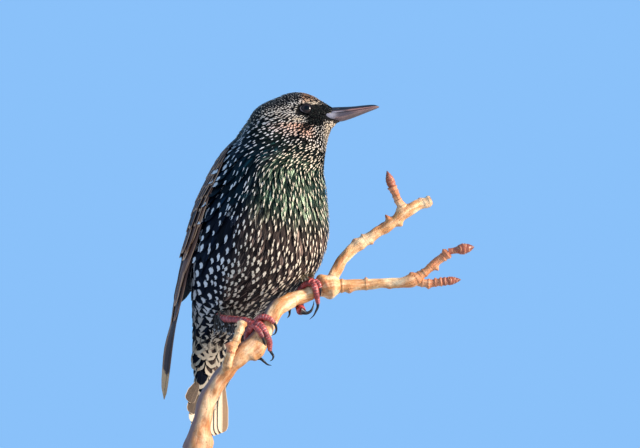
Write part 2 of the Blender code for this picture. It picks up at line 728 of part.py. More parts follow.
def eye(side, material):
    """Makes one eyeball, and gives the socket and raised lid ring that the head takes for it."""
    forward, out, up = EYE
    centre = head_point(forward, side * out, up)
    name = "eye_left" if side > 0 else "eye_right"
    ball(name, centre, EYE_RADIUS, material, 14, 8)
    socket = ball("socket", centre, EYE_RADIUS + GAP, None, 14, 8)
    ahead, aside, above = EYE_AIM
    outward = unit(ahead * FORWARD + side * aside * LEFT + above * UP)
    rise = unit(UP - (UP @ outward) * outward)
    across = np.cross(rise, outward)
    turn = np.arange(LID_STEPS)[:, None] * 2.0 * np.pi / LID_STEPS
    reach = math.sqrt(EYE_RADIUS**2 - LID_RADIUS**2) + LID_PROUD
    rim = centre + reach * outward + LID_RADIUS * (LID_LONG * np.cos(turn) * across + np.sin(turn) * rise)
    return socket, ring_tube("lid", rim, outward, LID_THICK)


def bill_rings(upper, swell=0.0):
    """Half-oval sections of one mandible, flat along the mouth line."""
    sections = BILL.copy()
    sections[0, 0] -= swell
    sections[-1, 0] += swell
    sign = 1.0 if upper else -1.0
    turn = np.linspace(0.0, np.pi, BILL_STEPS)
    rings = []
    for forward, top, mouth, under, half in sections:
        line = mouth - sign * BILL_LAP if swell else mouth + sign * GAP / 2.0
        height = (top - mouth if upper else mouth - under) - sign * (line - mouth) + swell
        aside = (half + swell) * np.cos(turn)
        above = line + sign * height * np.sin(turn) ** BILL_ROUND
        ring = np.stack([head_point(forward, a, b) for a, b in zip(aside, above)])
        rings.append(ring if upper else ring[::-1])
    return rings


def bill(material):
    """Both mandibles with their nostrils, and the two solids that the head gives up for them."""
    upper = solid("bill_upper", *loft(bill_rings(True)), material)
    lower = solid("bill_lower", *loft(bill_rings(False)), material)
    room = [solid("bill_room", *loft(bill_rings(half, GAP))) for half in (True, False)]
    for part in (upper, lower, *room):
        outward_faces(part)
    forward, out, up = NOSTRIL
    for side in (-1.0, 1.0):
        nostril = ball("nostril", head_point(forward, side * out, up), NOSTRIL_RADIUS, None, 12, 6)
        cut(upper, nostril)
    keep_largest(upper)
    return room


# ---------------------------------------------------------------- feathers


def vane(name, points, normals, widths, thick):
    """A flat feather along points: a thin strip, widths across it, facing along the normals."""
    points = np.asarray(points, dtype=float)
    across = unit(np.cross(unit(np.gradient(points, axis=0)), normals))
    rings = []
    for point, normal, side, half in zip(points, normals, across, np.asarray(widths) / 2.0):
        rise = unit(normal) * thick / 2.0
        wide = side * half
        rings.append([point - wide - rise, point + wide - rise, point + wide + rise, point - wide + rise])
    part = solid(name, *loft(rings))
    outward_faces(part)
    return part


def wing_point(height, across, lift):
    """A point over the wing's bed: across runs from 0 at the leading edge to 1 at the trailing edge."""
    height = np.asarray(height, dtype=float)
    read = [smooth_through(height, WING[:, 0], WING[:, i]) for i in range(1, 6)]
    lead_x, lead_y, trail_x, trail_y, bulge = read
    run_x, run_y = trail_x - lead_x, trail_y - lead_y
    length = np.sqrt(run_x**2 + run_y**2)
    out = 4.0 * bulge * across * (1.0 - across) + lift
    lean = 4.0 * bulge * (1.0 - 2.0 * across) / length
    away_x, away_y = -run_y / length, run_x / length
    size = np.sqrt(1.0 + lean**2)
    x = lead_x + run_x * across + away_x * (out - lift) + lift * (away_x - lean * run_x / length) / size
    y = lead_y + run_y * across + away_y * (out - lift) + lift * (away_y - lean * run_y / length) / size
    return np.stack([x, y, height + 0.0 * x], -1)


def wing_normal(height, across):
    """Outward, square to the wing's bed."""
    up = wing_point(height + 0.5, across, 0.0) - wing_point(height - 0.5, across, 0.0)
    over = wing_point(height, across + 0.02, 0.0) - wing_point(height, across - 0.02, 0.0)
    return unit(np.cross(up, over))


def wing_feather(name, top, tip, slide, lift, width, stations, thick, shape):
    """One vane of the wing, from its root's height, place across and lift to its tip's."""
    t = np.linspace(0.0, 1.0, stations)
    height = top + (tip - top) * t
    across = slide[0] + (slide[1] - slide[0]) * t
    points = wing_point(height, across, lift[0] + (lift[1] - lift[0]) * t)
    normals = np.stack([wing_normal(h, a) for h, a in zip(height, across)])
    return vane(name, points, normals, width * np.interp(t, *shape), thick)


def wing_pieces(chance):
    """The right wing's vanes: primaries, secondaries, tertials and four rows of coverts."""
    pieces = []
    for name, count, top, first_tip, rise, uneven, width, rings, thick in FLIGHT_ROWS:
        for i in range(count):
            tip = first_tip + rise * i
            if uneven:
                tip += chance.uniform(-uneven, uneven)
            places = [start + step * i for start, step in FLIGHT_PLACES[name]]
            slide, lift = places[:2], places[2:]
            pieces.append(wing_feather(name, top, tip, slide, lift, width, rings, thick, LONG_SHAPE))
    for name, count, top, tip, width, sunk, raised, first, last in COVERT_ROWS:
        for i in range(count):
            across = first + (last - first) * (i + 0.5) / count
            low = tip + chance.uniform(-COVERT_UNEVEN, COVERT_UNEVEN) + COVERT_RISE * i / count
            slide = (across, across + COVERT_SLANT)
            lift = (sunk, raised + COVERT_LAYER * (i % 2))
            pieces.append(wing_feather(name, top, low, slide, lift, width, 3, COVERT_THICK, ROUND_SHAPE))
    return pieces


def wing_bed(material):
    """The plate that every vane is rooted in, from the wrist to the middle of the primaries."""
    rings = []
    for height, outer, inner, start, stop in WING_BED:
        across = np.linspace(start, stop, BED_STEPS)
        over = wing_point(np.full(BED_STEPS, height), across, outer)
        under = wing_point(np.full(BED_STEPS, height), across, inner)
        rings.append(np.concatenate([over, under[::-1]]))
    part = solid("wing_right", *loft(rings), material)
    outward_faces(part)
    return part


def wings(material):
    """The right wing, trimmed to the body, and its mirror image."""
    right = wing_bed(material)
    fuse(right, wing_pieces(random.Random(SEED)), "MANIFOLD")
    cut(right, body_cutter())
    keep_largest(right)
    left = bpy.data.objects.new("wing_left", right.data.copy())
    bpy.context.scene.collection.objects.link(left)
    for vertex in left.data.vertices:
        vertex.co.x = -vertex.co.x
    left.data.flip_normals()


def tail(material):
    """Twelve tail feathers, the outer ones in front, with short coverts before and behind their roots."""
    chance = random.Random(SEED + 1)
    turn = np.arange(TAIL_SIDES) * 2.0 * np.pi / TAIL_SIDES
    rings = []
    for drop, half, deep in TAIL_ROOT:
        ring = [half * np.cos(turn), TAIL_MIDDLE + deep * np.sin(turn), np.full(TAIL_SIDES, TAIL_TOP - drop)]
        rings.append(np.stack(ring, -1))
    root = solid("tail", *loft(rings), material)
    outward_faces(root)
    pieces = []
    middle = (len(TAIL_TIPS) - 1) / 2.0
    t = np.linspace(0.0, 1.0, 4)
    widths = TAIL_WIDTH * np.interp(t, *TAIL_SHAPE)
    for i, height in enumerate(TAIL_TIPS):
        from_middle = abs(i - middle) - 0.5
        back = TAIL_MIDDLE + TAIL_BACK - TAIL_LAYER * from_middle
        if i == round(middle):
            back -= TAIL_LAYER / 2.0
        tip = height + chance.uniform(-TAIL_UNEVEN, TAIL_UNEVEN)
        x = (i - middle) / middle * TAIL_HALF
        fan = TAIL_SHIFT * (0.3 + 0.7 * t) + x * (0.74 + 0.26 * t)
        start = TAIL_TOP - TAIL_SUNK
        points = np.stack([fan, np.full(4, back), start + (tip - start) * t], -1)
        normals = np.tile((0.0, -1.0, 0.0), (4, 1))
        pieces.append(vane("rectrix", points, normals, widths, VANE_THICK))
    t = np.linspace(0.0, 1.0, 3)
    for face in (-1.0, 1.0):
        for i in range(TAIL_COVERTS):
            from_middle = i - (TAIL_COVERTS - 1) / 2.0
            out = 1.4 - 0.25 * abs(from_middle) + 0.3 * (i % 2)
            fan = from_middle * TAIL_COVERT_STEP * (0.8 + 0.3 * t)
            fall = TAIL_TOP - TAIL_SUNK - (TAIL_COVERT_LENGTH - 1.4 * abs(from_middle)) * t
            points = np.stack([fan, TAIL_MIDDLE + face * (2.4 + out * t), fall], -1)
            normals = np.tile((0.0, face, 0.0), (3, 1))
            pieces.append(vane("covert", points, normals, TAIL_COVERT_WIDTHS, 0.6))
    fuse(root, pieces)


# ---------------------------------------------------------------- legs, feet and claws


def limb_at(along):
    """The limb's axis and radius at one place along it."""
    return np.array([smooth_through(along, LIMB_REACH, LIMB[:, i]) for i in range(4)])


def on_limb(along, turn, clear, radius):
    """A ball's place and radius, from its place along the limb, turn about it and clearance from the bark."""
    inside = min(along, LIMB_REACH[-1] - 1.2 * LIMB_STEP)
    here, there = (limb_at(inside + step) for step in (-LIMB_STEP, LIMB_STEP))
    direction = unit(there[:3] - here[:3])
    middle = 0.5 * (here + there)
    top = unit(UP - (UP @ direction) * direction)
    front = np.cross(direction, top)
    turn = math.radians(turn)
    away = math.cos(turn) * top + math.sin(turn) * front
    centre = middle[:3] + (along - inside) * direction + (middle[3] + clear + radius) * away
    return np.array([*centre, radius])


def foot(side, skin, horn, limb):
    """Three toes before and one behind, joined at the ball of the foot, and a claw on each."""
    *centre, radius = on_limb(*HUBS[side])
    hub = ball("foot_" + side, np.array(centre), radius, skin, 12, 7)
    toes, claws = [], []
    for name in ("inner", "middle", "outer", "hind"):
        toe = np.array([on_limb(*station) for station in TOES[side + "_" + name]])
        toes.append(tube("toe", smooth_path(toe, 8), 6))
        base = toe[-1].copy()
        base[:3] += unit(toe[-1, :3] - toe[-2, :3]) * CLAW_GAP
        base[3] *= CLAW_BASE
        nail = smooth_path([base, *(on_limb(*station) for station in CLAWS[side + "_" + name])], 7)
        claws.append(tube("claw_" + side + "_" + name, nail, 6, horn))
    fuse(hub, toes)
    trim(hub, limb)
    keep_largest(hub)
    for nail in claws:
        trim(nail, hub)
        trim(nail, limb)
        keep_largest(nail)
    return hub


def leg(side, path, foot_part, skin, room):
    """The scaly shank, trimmed where it leaves the belly feathers and where it meets the foot."""
    shank = tube("leg_" + side, smooth_path(path, 9), 10, skin)
    cut(shank, room, keep_cutter=True)
    trim(shank, foot_part)
    keep_largest(shank)


# ---------------------------------------------------------------- perch and stand


def bud(name, start, tip, radius, material):
    """A pointed winter bud: widest a third of the way along."""
    start, tip = np.array(start), np.array(tip)
    path = [(*(start + (tip - start) * t), radius * wide) for t, wide in BUD_SHAPE]
    return tube(name, path, 9, material)


def level_end(part):
    """Saws the limb's lower end off level."""
    mesh = bmesh.new()
    mesh.from_mesh(part.data)
    everything = mesh.verts[:] + mesh.edges[:] + mesh.faces[:]
    height = (LIMB_END + STANDING) * MM
    cut_at, downwards = (0.0, 0.0, height), (0.0, 0.0, -1.0)
    bmesh.ops.bisect_plane(mesh, geom=everything, plane_co=cut_at, plane_no=downwards, clear_outer=True)
    bmesh.ops.holes_fill(mesh, edges=[e for e in mesh.edges if e.is_boundary])
    bmesh.ops.triangulate(mesh, faces=mesh.faces)
    bmesh.ops.recalc_face_normals(mesh, faces=mesh.faces)
    mesh.to_mesh(part.data)
    mesh.free()


def gripped_limb(bark):
    """The limb that the feet hold, sawn off level at its lower end."""
    limb = tube("limb", smooth_path(LIMB, 22), 10, bark)
    level_end(limb)
    return limb


def perch(limb, bark, scale):
    """The limb's knob, its two side twigs and spurs, and the buds at their ends."""
    knob = tube("knob", smooth_path(KNOB, 8), 12, bark)
    low = tube("twig_low", smooth_path(TWIG_LOW, 15), 9, bark)
    fork = tube("twig_fork", smooth_path(FORK_LOW, 5), 8, bark)
    high = tube("twig_high", smooth_path(TWIG_HIGH, 13), 9, bark)
    spur = tube("twig_spur", smooth_path(SPUR_HIGH, 6), 8, bark)
    stub = tube("limb_spur", smooth_path(SPUR_LIMB, 8), 8, bark)
    trim(knob, limb)
    trim(low, knob)
    trim(high, knob)
    trim(fork, low)
    trim(spur, high)
    trim(stub, limb)
    for part in (knob, low, high, fork, spur, stub):
        keep_largest(part)
    for name, on in (("bud_low", low), ("bud_fork", fork), ("bud_high", spur)):
        start, tip, radius = BUDS[name]
        part = bud(name, start, tip, radius, scale)
        trim(part, on)
        keep_largest(part)


def turned(name, profile, centre, sides, material):
    """A round piece turned from (radius, height) pairs, bottom to top."""
    turn = np.arange(sides) * 2.0 * np.pi / sides
    rings = []
    for radius, height in profile:
        ring = [centre[0] + radius * np.cos(turn), centre[1] + radius * np.sin(turn), np.full(sides, height)]
        rings.append(np.stack(ring, -1))
    return solid(name, *loft(rings), material)


def stand(wood, steel):
    """A turned wooden disc on the floor, and one short rod up to the limb's sawn end."""
    floor, top = -STANDING, -STANDING + STAND_THICK
    edge = [(STAND_RADIUS - STAND_FOOT, floor), (STAND_RADIUS, floor + STAND_FOOT)]
    edge.append((STAND_RADIUS, top - STAND_EDGE))
    for step in (1.0, 2.0, 3.0):
        turn = step * math.pi / 6.0
        inset = STAND_EDGE * (1.0 - math.cos(turn))
        edge.append((STAND_RADIUS - inset, top - STAND_EDGE + STAND_EDGE * math.sin(turn)))
    turned("stand_base", edge, (0.0, 0.0), 40, wood)
    rod = ((ROD_RADIUS, top + GAP), (ROD_RADIUS, LIMB_END - GAP))
    turned("stand_rod", rod, LIMB[0, :2], 16, steel)


def main():
    """Clears the file, and builds the bird, its perch and the stand."""
    for thing in list(bpy.data.objects):
        bpy.data.objects.remove(thing)

    plumage = finish("plumage", (0.03, 0.035, 0.04), 0.45)
    flight = finish("flight_feathers", (0.16, 0.12, 0.1), 0.6)
    horn = finish("bill_horn", (0.14, 0.1, 0.09), 0.4)
    dark = finish("eye_dark", (0.02, 0.012, 0.008), 0.08)
    skin = finish("leg_skin", (0.45, 0.16, 0.12), 0.5)
    claw_horn = finish("claw_horn", (0.03, 0.027, 0.025), 0.35)
    bark = finish("bark", (0.55, 0.3, 0.15), 0.75)
    scale = finish("bud_scale", (0.3, 0.07, 0.03), 0.6)
    wood = finish("stand_wood", (0.12, 0.08, 0.06), 0.4)
    steel = finish("stand_steel", (0.5, 0.5, 0.5), 0.3, 1.0)

    lengths = [body_part(*length, plumage) for length in BODY_PARTS]
    head = lengths[-1]
    for piece in bill(horn):
        cut(head, piece)
    for side in (-1.0, 1.0):
        socket, lid = eye(side, dark)
        fuse(head, [lid])
        cut(head, socket)
    keep_largest(head)
    wings(flight)
    tail(flight)
    room = body_cutter()
    limb = gripped_limb(bark)
    for side, path in (("right", LEG_RIGHT), ("left", LEG_LEFT)):
        ball_part = foot(side, skin, claw_horn, limb)
        leg(side, path, ball_part, skin, room)
    discard(room)
    perch(limb, bark, scale)
    stand(wood, steel)


main()
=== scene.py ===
"""A common starling in fresh winter plumage, perched on a cut twig over a plain display stand.

Sizes are millimetres in the bird's own frame: +X is its left, -Y its front, +Z up, and the middle
of the trunk is the origin. place() turns them into metres above the floor.
"""

import math

import bpy
import numpy as np
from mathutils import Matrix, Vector


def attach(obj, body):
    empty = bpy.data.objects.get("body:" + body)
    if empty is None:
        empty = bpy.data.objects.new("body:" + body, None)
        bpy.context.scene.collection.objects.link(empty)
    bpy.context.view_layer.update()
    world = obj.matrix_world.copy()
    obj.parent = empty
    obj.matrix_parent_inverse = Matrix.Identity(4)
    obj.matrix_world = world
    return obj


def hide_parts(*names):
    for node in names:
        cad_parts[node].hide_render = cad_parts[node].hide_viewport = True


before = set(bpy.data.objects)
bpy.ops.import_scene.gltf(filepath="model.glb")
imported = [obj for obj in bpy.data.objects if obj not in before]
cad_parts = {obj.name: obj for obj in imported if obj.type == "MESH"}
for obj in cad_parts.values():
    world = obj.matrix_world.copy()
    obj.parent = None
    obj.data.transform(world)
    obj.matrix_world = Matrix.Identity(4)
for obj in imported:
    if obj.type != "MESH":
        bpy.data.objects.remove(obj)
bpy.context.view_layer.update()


# ---------------------------------------------------------------- display stand
# A turned walnut disc with an oiled face stands on the floor. A short brushed steel rod is let
# into it and holds the sawn end of the perch from below.


FULL_TURN = 6.2832  # radians, for waves in the materials


class Wire:
    """A value on its way through a material. Arithmetic on it adds Math nodes."""

    def __init__(self, tree, socket):
        self.tree = tree
        self.socket = socket

    def node(self, kind, settings, inputs, output=0):
        """One node: its type, its settings, then a value or a wire for each of its sockets."""
        made = self.tree.nodes.new("ShaderNode" + kind)
        for name, value in settings.items():
            setattr(made, name, value)
        for name, value in inputs.items():
            socket = made.inputs[name]
            if isinstance(value, Wire):
                self.tree.links.new(value.socket, socket)
            elif socket.type == "RGBA":
                socket.default_value = (*value, 1.0)
            else:
                socket.default_value = value
        return Wire(self.tree, made.outputs[output])

    def calculated(self, operation, *values):
        """A Math node on one value or more."""
        return self.node("Math", {"operation": operation}, dict(enumerate(values)))

    def __add__(self, other):
        return self.calculated("ADD", self, other)

    def __radd__(self, other):
        return self.calculated("ADD", other, self)

    def __sub__(self, other):
        return self.calculated("SUBTRACT", self, other)

    def __rsub__(self, other):
        return self.calculated("SUBTRACT", other, self)

    def __mul__(self, other):
        return self.calculated("MULTIPLY", self, other)

    def __rmul__(self, other):
        return self.calculated("MULTIPLY", other, self)

    def __truediv__(self, other):
        return self.calculated("DIVIDE", self, other)

    def __abs__(self):
        return self.calculated("ABSOLUTE", self)

    def sine(self):
        return self.calculated("SINE", self)

    def waves(self):
        """From 0 to 1 and back, once for each whole number that this wire passes."""
        return (self * FULL_TURN).sine() * 0.5 + 0.5

    def or_less(self, other):
        return self.calculated("MINIMUM", self, other)

    def or_more(self, other):
        return self.calculated("MAXIMUM", self, other)

    def ramp(self, low, high):
        """0 at low, 1 at high, and smooth between them, whichever is the larger."""
        ends = {"Value": self, "From Min": low, "From Max": high}
        return self.node("MapRange", {"interpolation_type": "SMOOTHSTEP"}, ends)

    def tint(self, without, full):
        """A colour that goes from one to the other as this wire goes from 0 to 1."""
        return self.node("Mix", {"data_type": "RGBA"}, {0: self, 6: without, 7: full}, 2)

    def relief(self, depth):
        """A bump of that depth in millimetres, from this wire's height."""
        return self.node("Bump", {}, {"Height": self, "Strength": 1.0, "Distance": depth * 0.001})

    def place_in(self):
        """Where a point is, in the object's own coordinates."""
        return self.node("TexCoord", {}, {}, "Object")

    def map_named(self, name):
        """The piece's own UV map of that name, as its two values."""
        flat = self.node("UVMap", {"uv_map": name}, {})
        return flat.part(0), flat.part(1)

    def part(self, axis):
        """One of a vector's or a colour's three numbers."""
        return self.node("SeparateXYZ", {}, {0: self}, axis)

    def joined(self, x, y, z=0.0):
        """A vector of three numbers."""
        return self.node("CombineXYZ", {}, {0: x, 1: y, 2: z})

    def noise(self, vector, scale, detail=3.0, rough=0.55):
        """Cloudy noise from 0 to 1."""
        sizes = {"Vector": vector, "Scale": scale, "Detail": detail, "Roughness": rough}
        return self.node("TexNoise", {}, sizes)

    def cells(self, vector, scale):
        """Distance from the nearest of many scattered points."""
        return self.node("TexVoronoi", {}, {"Vector": vector, "Scale": scale})

    def mark(self, name, output=0):
        """A colour or number kept on the piece's own points."""
        return self.node("Attribute", {"attribute_name": name}, {}, output)


def look_of(name, paint, **constant):
    """A Principled material: paint gives what feeds each varying socket, and the rest is constant."""
    look = bpy.data.materials.new(name)
    look.use_nodes = True
    shader = look.node_tree.nodes["Principled BSDF"]
    for socket, value in constant.items():
        shader.inputs[socket.replace("_", " ")].default_value = value
    for socket, value in paint(Wire(look.node_tree, None)).items():
        look.node_tree.links.new(value.socket, shader.inputs[socket])
    return look


def walnut(w):
    """Long grain: noise drawn out along X, darker in its hollows, with fine pores."""
    at = w.place_in()
    grain = w.noise(w.joined(at.part(0) * 9.0, at.part(1) * 120.0, at.part(2) * 60.0), 1.0, 5.0)
    bands = (grain * 38.0 + at.part(1) * 500.0).sine() * 0.5 + 0.5
    pores = w.noise(w.joined(at.part(0) * 60.0, at.part(1) * 2600.0, at.part(2) * 900.0), 1.0, 2.0)
    shade = bands * 0.6 + pores.ramp(0.35, 0.7) * 0.4
    return {
        "Base Color": shade.tint((0.045, 0.022, 0.012), (0.16, 0.085, 0.045)),
        "Roughness": 0.34 + pores * 0.2,
        "Normal": pores.ramp(0.3, 0.6).relief(0.05),
    }


def brushed_steel(w):
    """Fine rings round the rod from the lathe, and a duller film here and there."""
    at = w.place_in()
    rings = w.noise(w.joined(at.part(0) * 60.0, at.part(1) * 60.0, at.part(2) * 9000.0), 1.0, 2.0)
    film = w.noise(at, 160.0)
    return {
        "Base Color": film.tint((0.44, 0.44, 0.45), (0.58, 0.58, 0.57)),
        "Roughness": 0.22 + rings * 0.22,
        "Normal": rings.relief(0.02),
    }


for node, look in (
    ("stand_base", look_of("oiled walnut", walnut, Coat_Weight=0.15, Coat_Roughness=0.3)),
    ("stand_rod", look_of("brushed steel", brushed_steel, Metallic=1.0)),
):
    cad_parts[node].data.materials.clear()
    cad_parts[node].data.materials.append(look)


# ---------------------------------------------------------------- perch
# A cut length of smooth-barked twig: the limb that both feet hold, its ringed knob, two side twigs
# and three dead spurs. The wood grew as one; each length is closed and runs into the next.

STANDING = 126.0  # height of the trunk's middle above the floor
# Stations of each length of wood: (x, y, z, radius), from its lower or thicker end.
LIMB = np.array(
    [
        (-31.7, 2.0, -103.9, 4.8),
        (-31.3, 0.2, -95.7, 4.45),
        (-30.6, -2.1, -86.8, 4.25),
        (-29.7, -4.5, -79.3, 4.15),
        (-27.6, -7.7, -73.5, 4.05),
        (-23.6, -13.0, -64.8, 4.0),
        (-19.4, -17.2, -59.1, 4.5),
        (-14.7, -20.3, -54.1, 4.4),
        (-10.4, -22.0, -48.0, 4.1),
        (-6.4, -23.1, -40.3, 4.0),
        (-3.3, -24.0, -36.3, 4.0),
        (-0.1, -25.2, -34.2, 3.8),
        (4.7, -25.7, -32.0, 3.5),
        (8.6, -26.7, -30.5, 3.3),
        (12.5, -28.0, -28.7, 3.2),
        (15.6, -29.0, -27.2, 3.2),
    ]
)
KNOB = np.array(
    [
        (15.2, -28.8, -27.4, 3.2),
        (17.6, -29.2, -26.6, 3.6),
        (20.6, -30.2, -25.2, 5.6),
        (24.0, -31.6, -24.4, 5.8),
        (27.2, -33.4, -24.0, 3.8),
    ]
)
TWIG_LOW = np.array(
    [
        (26.4, -32.9, -24.0, 3.3),
        (31.5, -36.5, -23.9, 2.9),
        (39.4, -42.0, -23.2, 2.6),
        (47.1, -49.6, -22.8, 2.4),
        (54.5, -57.4, -21.3, 2.9),
        (58.0, -60.4, -18.4, 2.2),
        (62.2, -65.4, -13.2, 1.9),
        (66.2, -71.0, -8.2, 2.2),
    ]
)
FORK_LOW = np.array([(56.6, -58.6, -22.2, 2.0), (61.4, -63.0, -23.0, 1.8), (65.2, -67.0, -22.4, 1.9)])
TWIG_HIGH = np.array(
    [
        (26.4, -27.8, -22.4, 2.6),
        (34.0, -30.1, -8.6, 2.8),
        (43.2, -37.0, 0.6, 2.8),
        (52.6, -45.2, 8.6, 2.7),
        (57.9, -50.0, 14.8, 3.1),
        (62.6, -53.8, 17.6, 2.6),
        (67.4, -57.4, 20.2, 2.5),
    ]
)
SPUR_HIGH = np.array([(56.4, -49.2, 15.0, 2.3), (52.4, -47.6, 22.8, 1.9), (50.6, -47.4, 26.6, 2.2)])
SPUR_LIMB = np.array(
    [
        (-26.0, -12.4, -67.0, 2.4),
        (-26.8, -16.1, -62.7, 2.1),
        (-26.3, -18.2, -57.5, 1.9),
        (-25.1, -18.9, -53.2, 1.8),
        (-23.5, -20.2, -48.4, 1.75),
        (-21.6, -20.8, -44.2, 1.9),
    ]
)


def place(points):
    """Bird millimetres to metres above the floor."""
    return (np.asarray(points, dtype=float) + (0.0, 0.0, STANDING)) * 0.001


def unit(v):
    """Each vector at length one."""
    v = np.asarray(v, dtype=float)
    return v / np.maximum(np.linalg.norm(v, axis=-1, keepdims=True), 1e-9)


def ramp(x, low, high):
    """0 below low, 1 above high, smooth between them; low may be the larger."""
    t = np.clip((x - low) / (high - low), 0.0, 1.0)
    return t * t * (3.0 - 2.0 * t)


def through(x, xs, ys):
    """Cubic Hermite curve through the stations (xs, ys), with slopes from their neighbours."""
    slopes = np.gradient(ys, xs)
    x = np.clip(x, xs[0], xs[-1])
    i = np.clip(np.searchsorted(xs, x) - 1, 0, len(xs) - 2)
    span = xs[i + 1] - xs[i]
    t = (x - xs[i]) / span
    rise = 3.0 * t**2 - 2.0 * t**3
    start = t * (1.0 - t) ** 2 * span * slopes[i]
    end = t**2 * (t - 1.0) * span * slopes[i + 1]
    return ys[i] * (1.0 - rise) + ys[i + 1] * rise + start + end


def drawn_out(path, count):
    """The path's stations read again at count even places of one smooth curve, and their reach in mm."""
    path = np.asarray(path, dtype=float)
    reach = np.concatenate([[0.0], np.cumsum(np.linalg.norm(np.diff(path[:, :3], axis=0), axis=1))])
    at = np.linspace(0.0, reach[-1], count)
    return np.stack([through(at, reach, path[:, i]) for i in range(path.shape[1])], -1), at


def even_turns(sides):
    """Angles that share a full turn evenly."""
    return np.arange(sides) * 2.0 * np.pi / sides


def rings_round(path, sides, extra=0.0):
    """Rings round a path of (x, y, z, radius): each ring is turned as little as can be from the last.

    extra, one number or one for each point, is added to the radius.
    """
    middle, radius = path[:, :3], path[:, 3]
    along = unit(np.gradient(middle, axis=0))
    side = unit(np.cross(along[0], (0.0, 0.0, 1.0) if abs(along[0, 2]) < 0.9 else (1.0, 0.0, 0.0)))
    sides_at = []
    for direction in along:
        side = unit(side - (side @ direction) * direction)
        sides_at.append(side)
    side = np.array(sides_at)
    other = np.cross(along, side)
    turn = even_turns(sides)
    out = np.cos(turn)[None, :, None] * side[:, None] + np.sin(turn)[None, :, None] * other[:, None]
    return middle[:, None] + (radius[:, None] + extra)[..., None] * out


def ring_quads(count, sides):
    """Ring and side numbers between neighbouring rings of points, and the four points of each quad."""
    i, j = np.meshgrid(np.arange(count - 1), np.arange(sides), indexing="ij")
    k = (j + 1) % sides
    return i, j, np.stack([i * sides + j, i * sides + k, (i + 1) * sides + k, (i + 1) * sides + j], -1)


def shell(rings, first=None, last=None):
    """A closed skin over rings (count, sides, 3): quads between rings, and a fan to a pole at each end.

    Returns points, faces and, for each face corner, how far along (0 to 1) and round (0 to 1) it is.
    """
    count, sides = rings.shape[:2]
    first = rings[0].mean(0) if first is None else first
    last = rings[-1].mean(0) if last is None else last
    points = np.concatenate([rings.reshape(-1, 3), [first], [last]])
    i, j, quads = ring_quads(count, sides)
    along = np.stack([i, i, i + 1, i + 1], -1) / (count - 1.0)
    round_ = np.stack([j, j + 1, j + 1, j], -1) / float(sides)
    turn = np.arange(sides)
    after = (turn + 1) % sides
    start, end = count * sides, count * sides + 1
    low = np.stack([np.full(sides, start), after, turn], -1)
    high = np.stack([np.full(sides, end), (count - 1) * sides + turn, (count - 1) * sides + after], -1)
    fan = np.stack([turn + 0.5, turn + 1.0, turn], -1) / sides
    corner = np.concatenate(
        [
            np.stack([along.ravel(), round_.ravel()], -1),
            np.stack([np.zeros(3 * sides), fan.ravel()], -1),
            np.stack([np.ones(3 * sides), fan[:, [0, 2, 1]].ravel()], -1),
        ]
    )
    return points, [quads.reshape(-1, 4), low, high], corner


def strips(rings):
    """Many closed strips at once: rings is (strips, stations, sides, 3). Returns points and faces."""
    count, stations, sides = rings.shape[:3]
    _, _, quads = ring_quads(stations, sides)
    ring = np.arange(sides)
    caps = np.stack([ring[::-1], (stations - 1) * sides + ring])
    shift = (np.arange(count) * stations * sides)[:, None, None]
    quads = (quads.reshape(1, -1, 4) + shift).reshape(-1, 4)
    return rings.reshape(-1, 3), [quads, (caps[None] + shift).reshape(-1, sides)]


def piece(name, points, faces, look, maps=None, marks=None, crease=50.0):
    """A mesh object that rides on the model: its points, faces, corner maps and point marks."""
    mesh = bpy.data.meshes.new(name)
    corners = np.concatenate([part.ravel() for part in faces]).astype(np.int32)
    sizes = np.concatenate([np.full(len(part), part.shape[1]) for part in faces])
    mesh.vertices.add(len(points))
    mesh.vertices.foreach_set("co", place(points).astype(np.float32).ravel())
    mesh.loops.add(len(corners))
    mesh.loops.foreach_set("vertex_index", corners)
    mesh.polygons.add(len(sizes))
    mesh.polygons.foreach_set("loop_start", (np.cumsum(sizes) - sizes).astype(np.int32))
    mesh.update(calc_edges=True)
    for label, flat in (maps or {}).items():
        flat = flat if len(flat) == len(corners) else flat[corners]
        mesh.uv_layers.new(name=label).data.foreach_set("uv", flat.astype(np.float32).ravel())
    for label, values in (marks or {}).items():
        kept = mesh.attributes.new(label, "FLOAT_COLOR", "POINT")
        colours = np.concatenate([values, np.ones((len(values), 1))], -1) if values.shape[1] == 3 else values
        kept.data.foreach_set("color", colours.astype(np.float32).ravel())
    mesh.shade_smooth()
    mesh.set_sharp_from_angle(angle=math.radians(crease))
    mesh.materials.append(look)
    made = bpy.data.objects.new(name, mesh)
    bpy.context.scene.collection.objects.link(made)
    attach(made, "root")
    return made


def several(*parts):
    """Closed parts, each (points, faces, corners), put together as one."""
    points, faces, corners, shift = [], {}, {}, 0
    for part_points, part_faces, part_corners in parts:
        start = 0
        for part in part_faces:
            faces.setdefault(part.shape[1], []).append(part + shift)
            stop = start + part.size
            corners.setdefault(part.shape[1], []).append(part_corners[start:stop])
            start = stop
        points.append(part_points)
        shift += len(part_points)
    order = sorted(faces)
    return (
        np.concatenate(points),
        [np.concatenate(faces[size]) for size in order],
        np.concatenate([np.concatenate(corners[size]) for size in order]),
    )


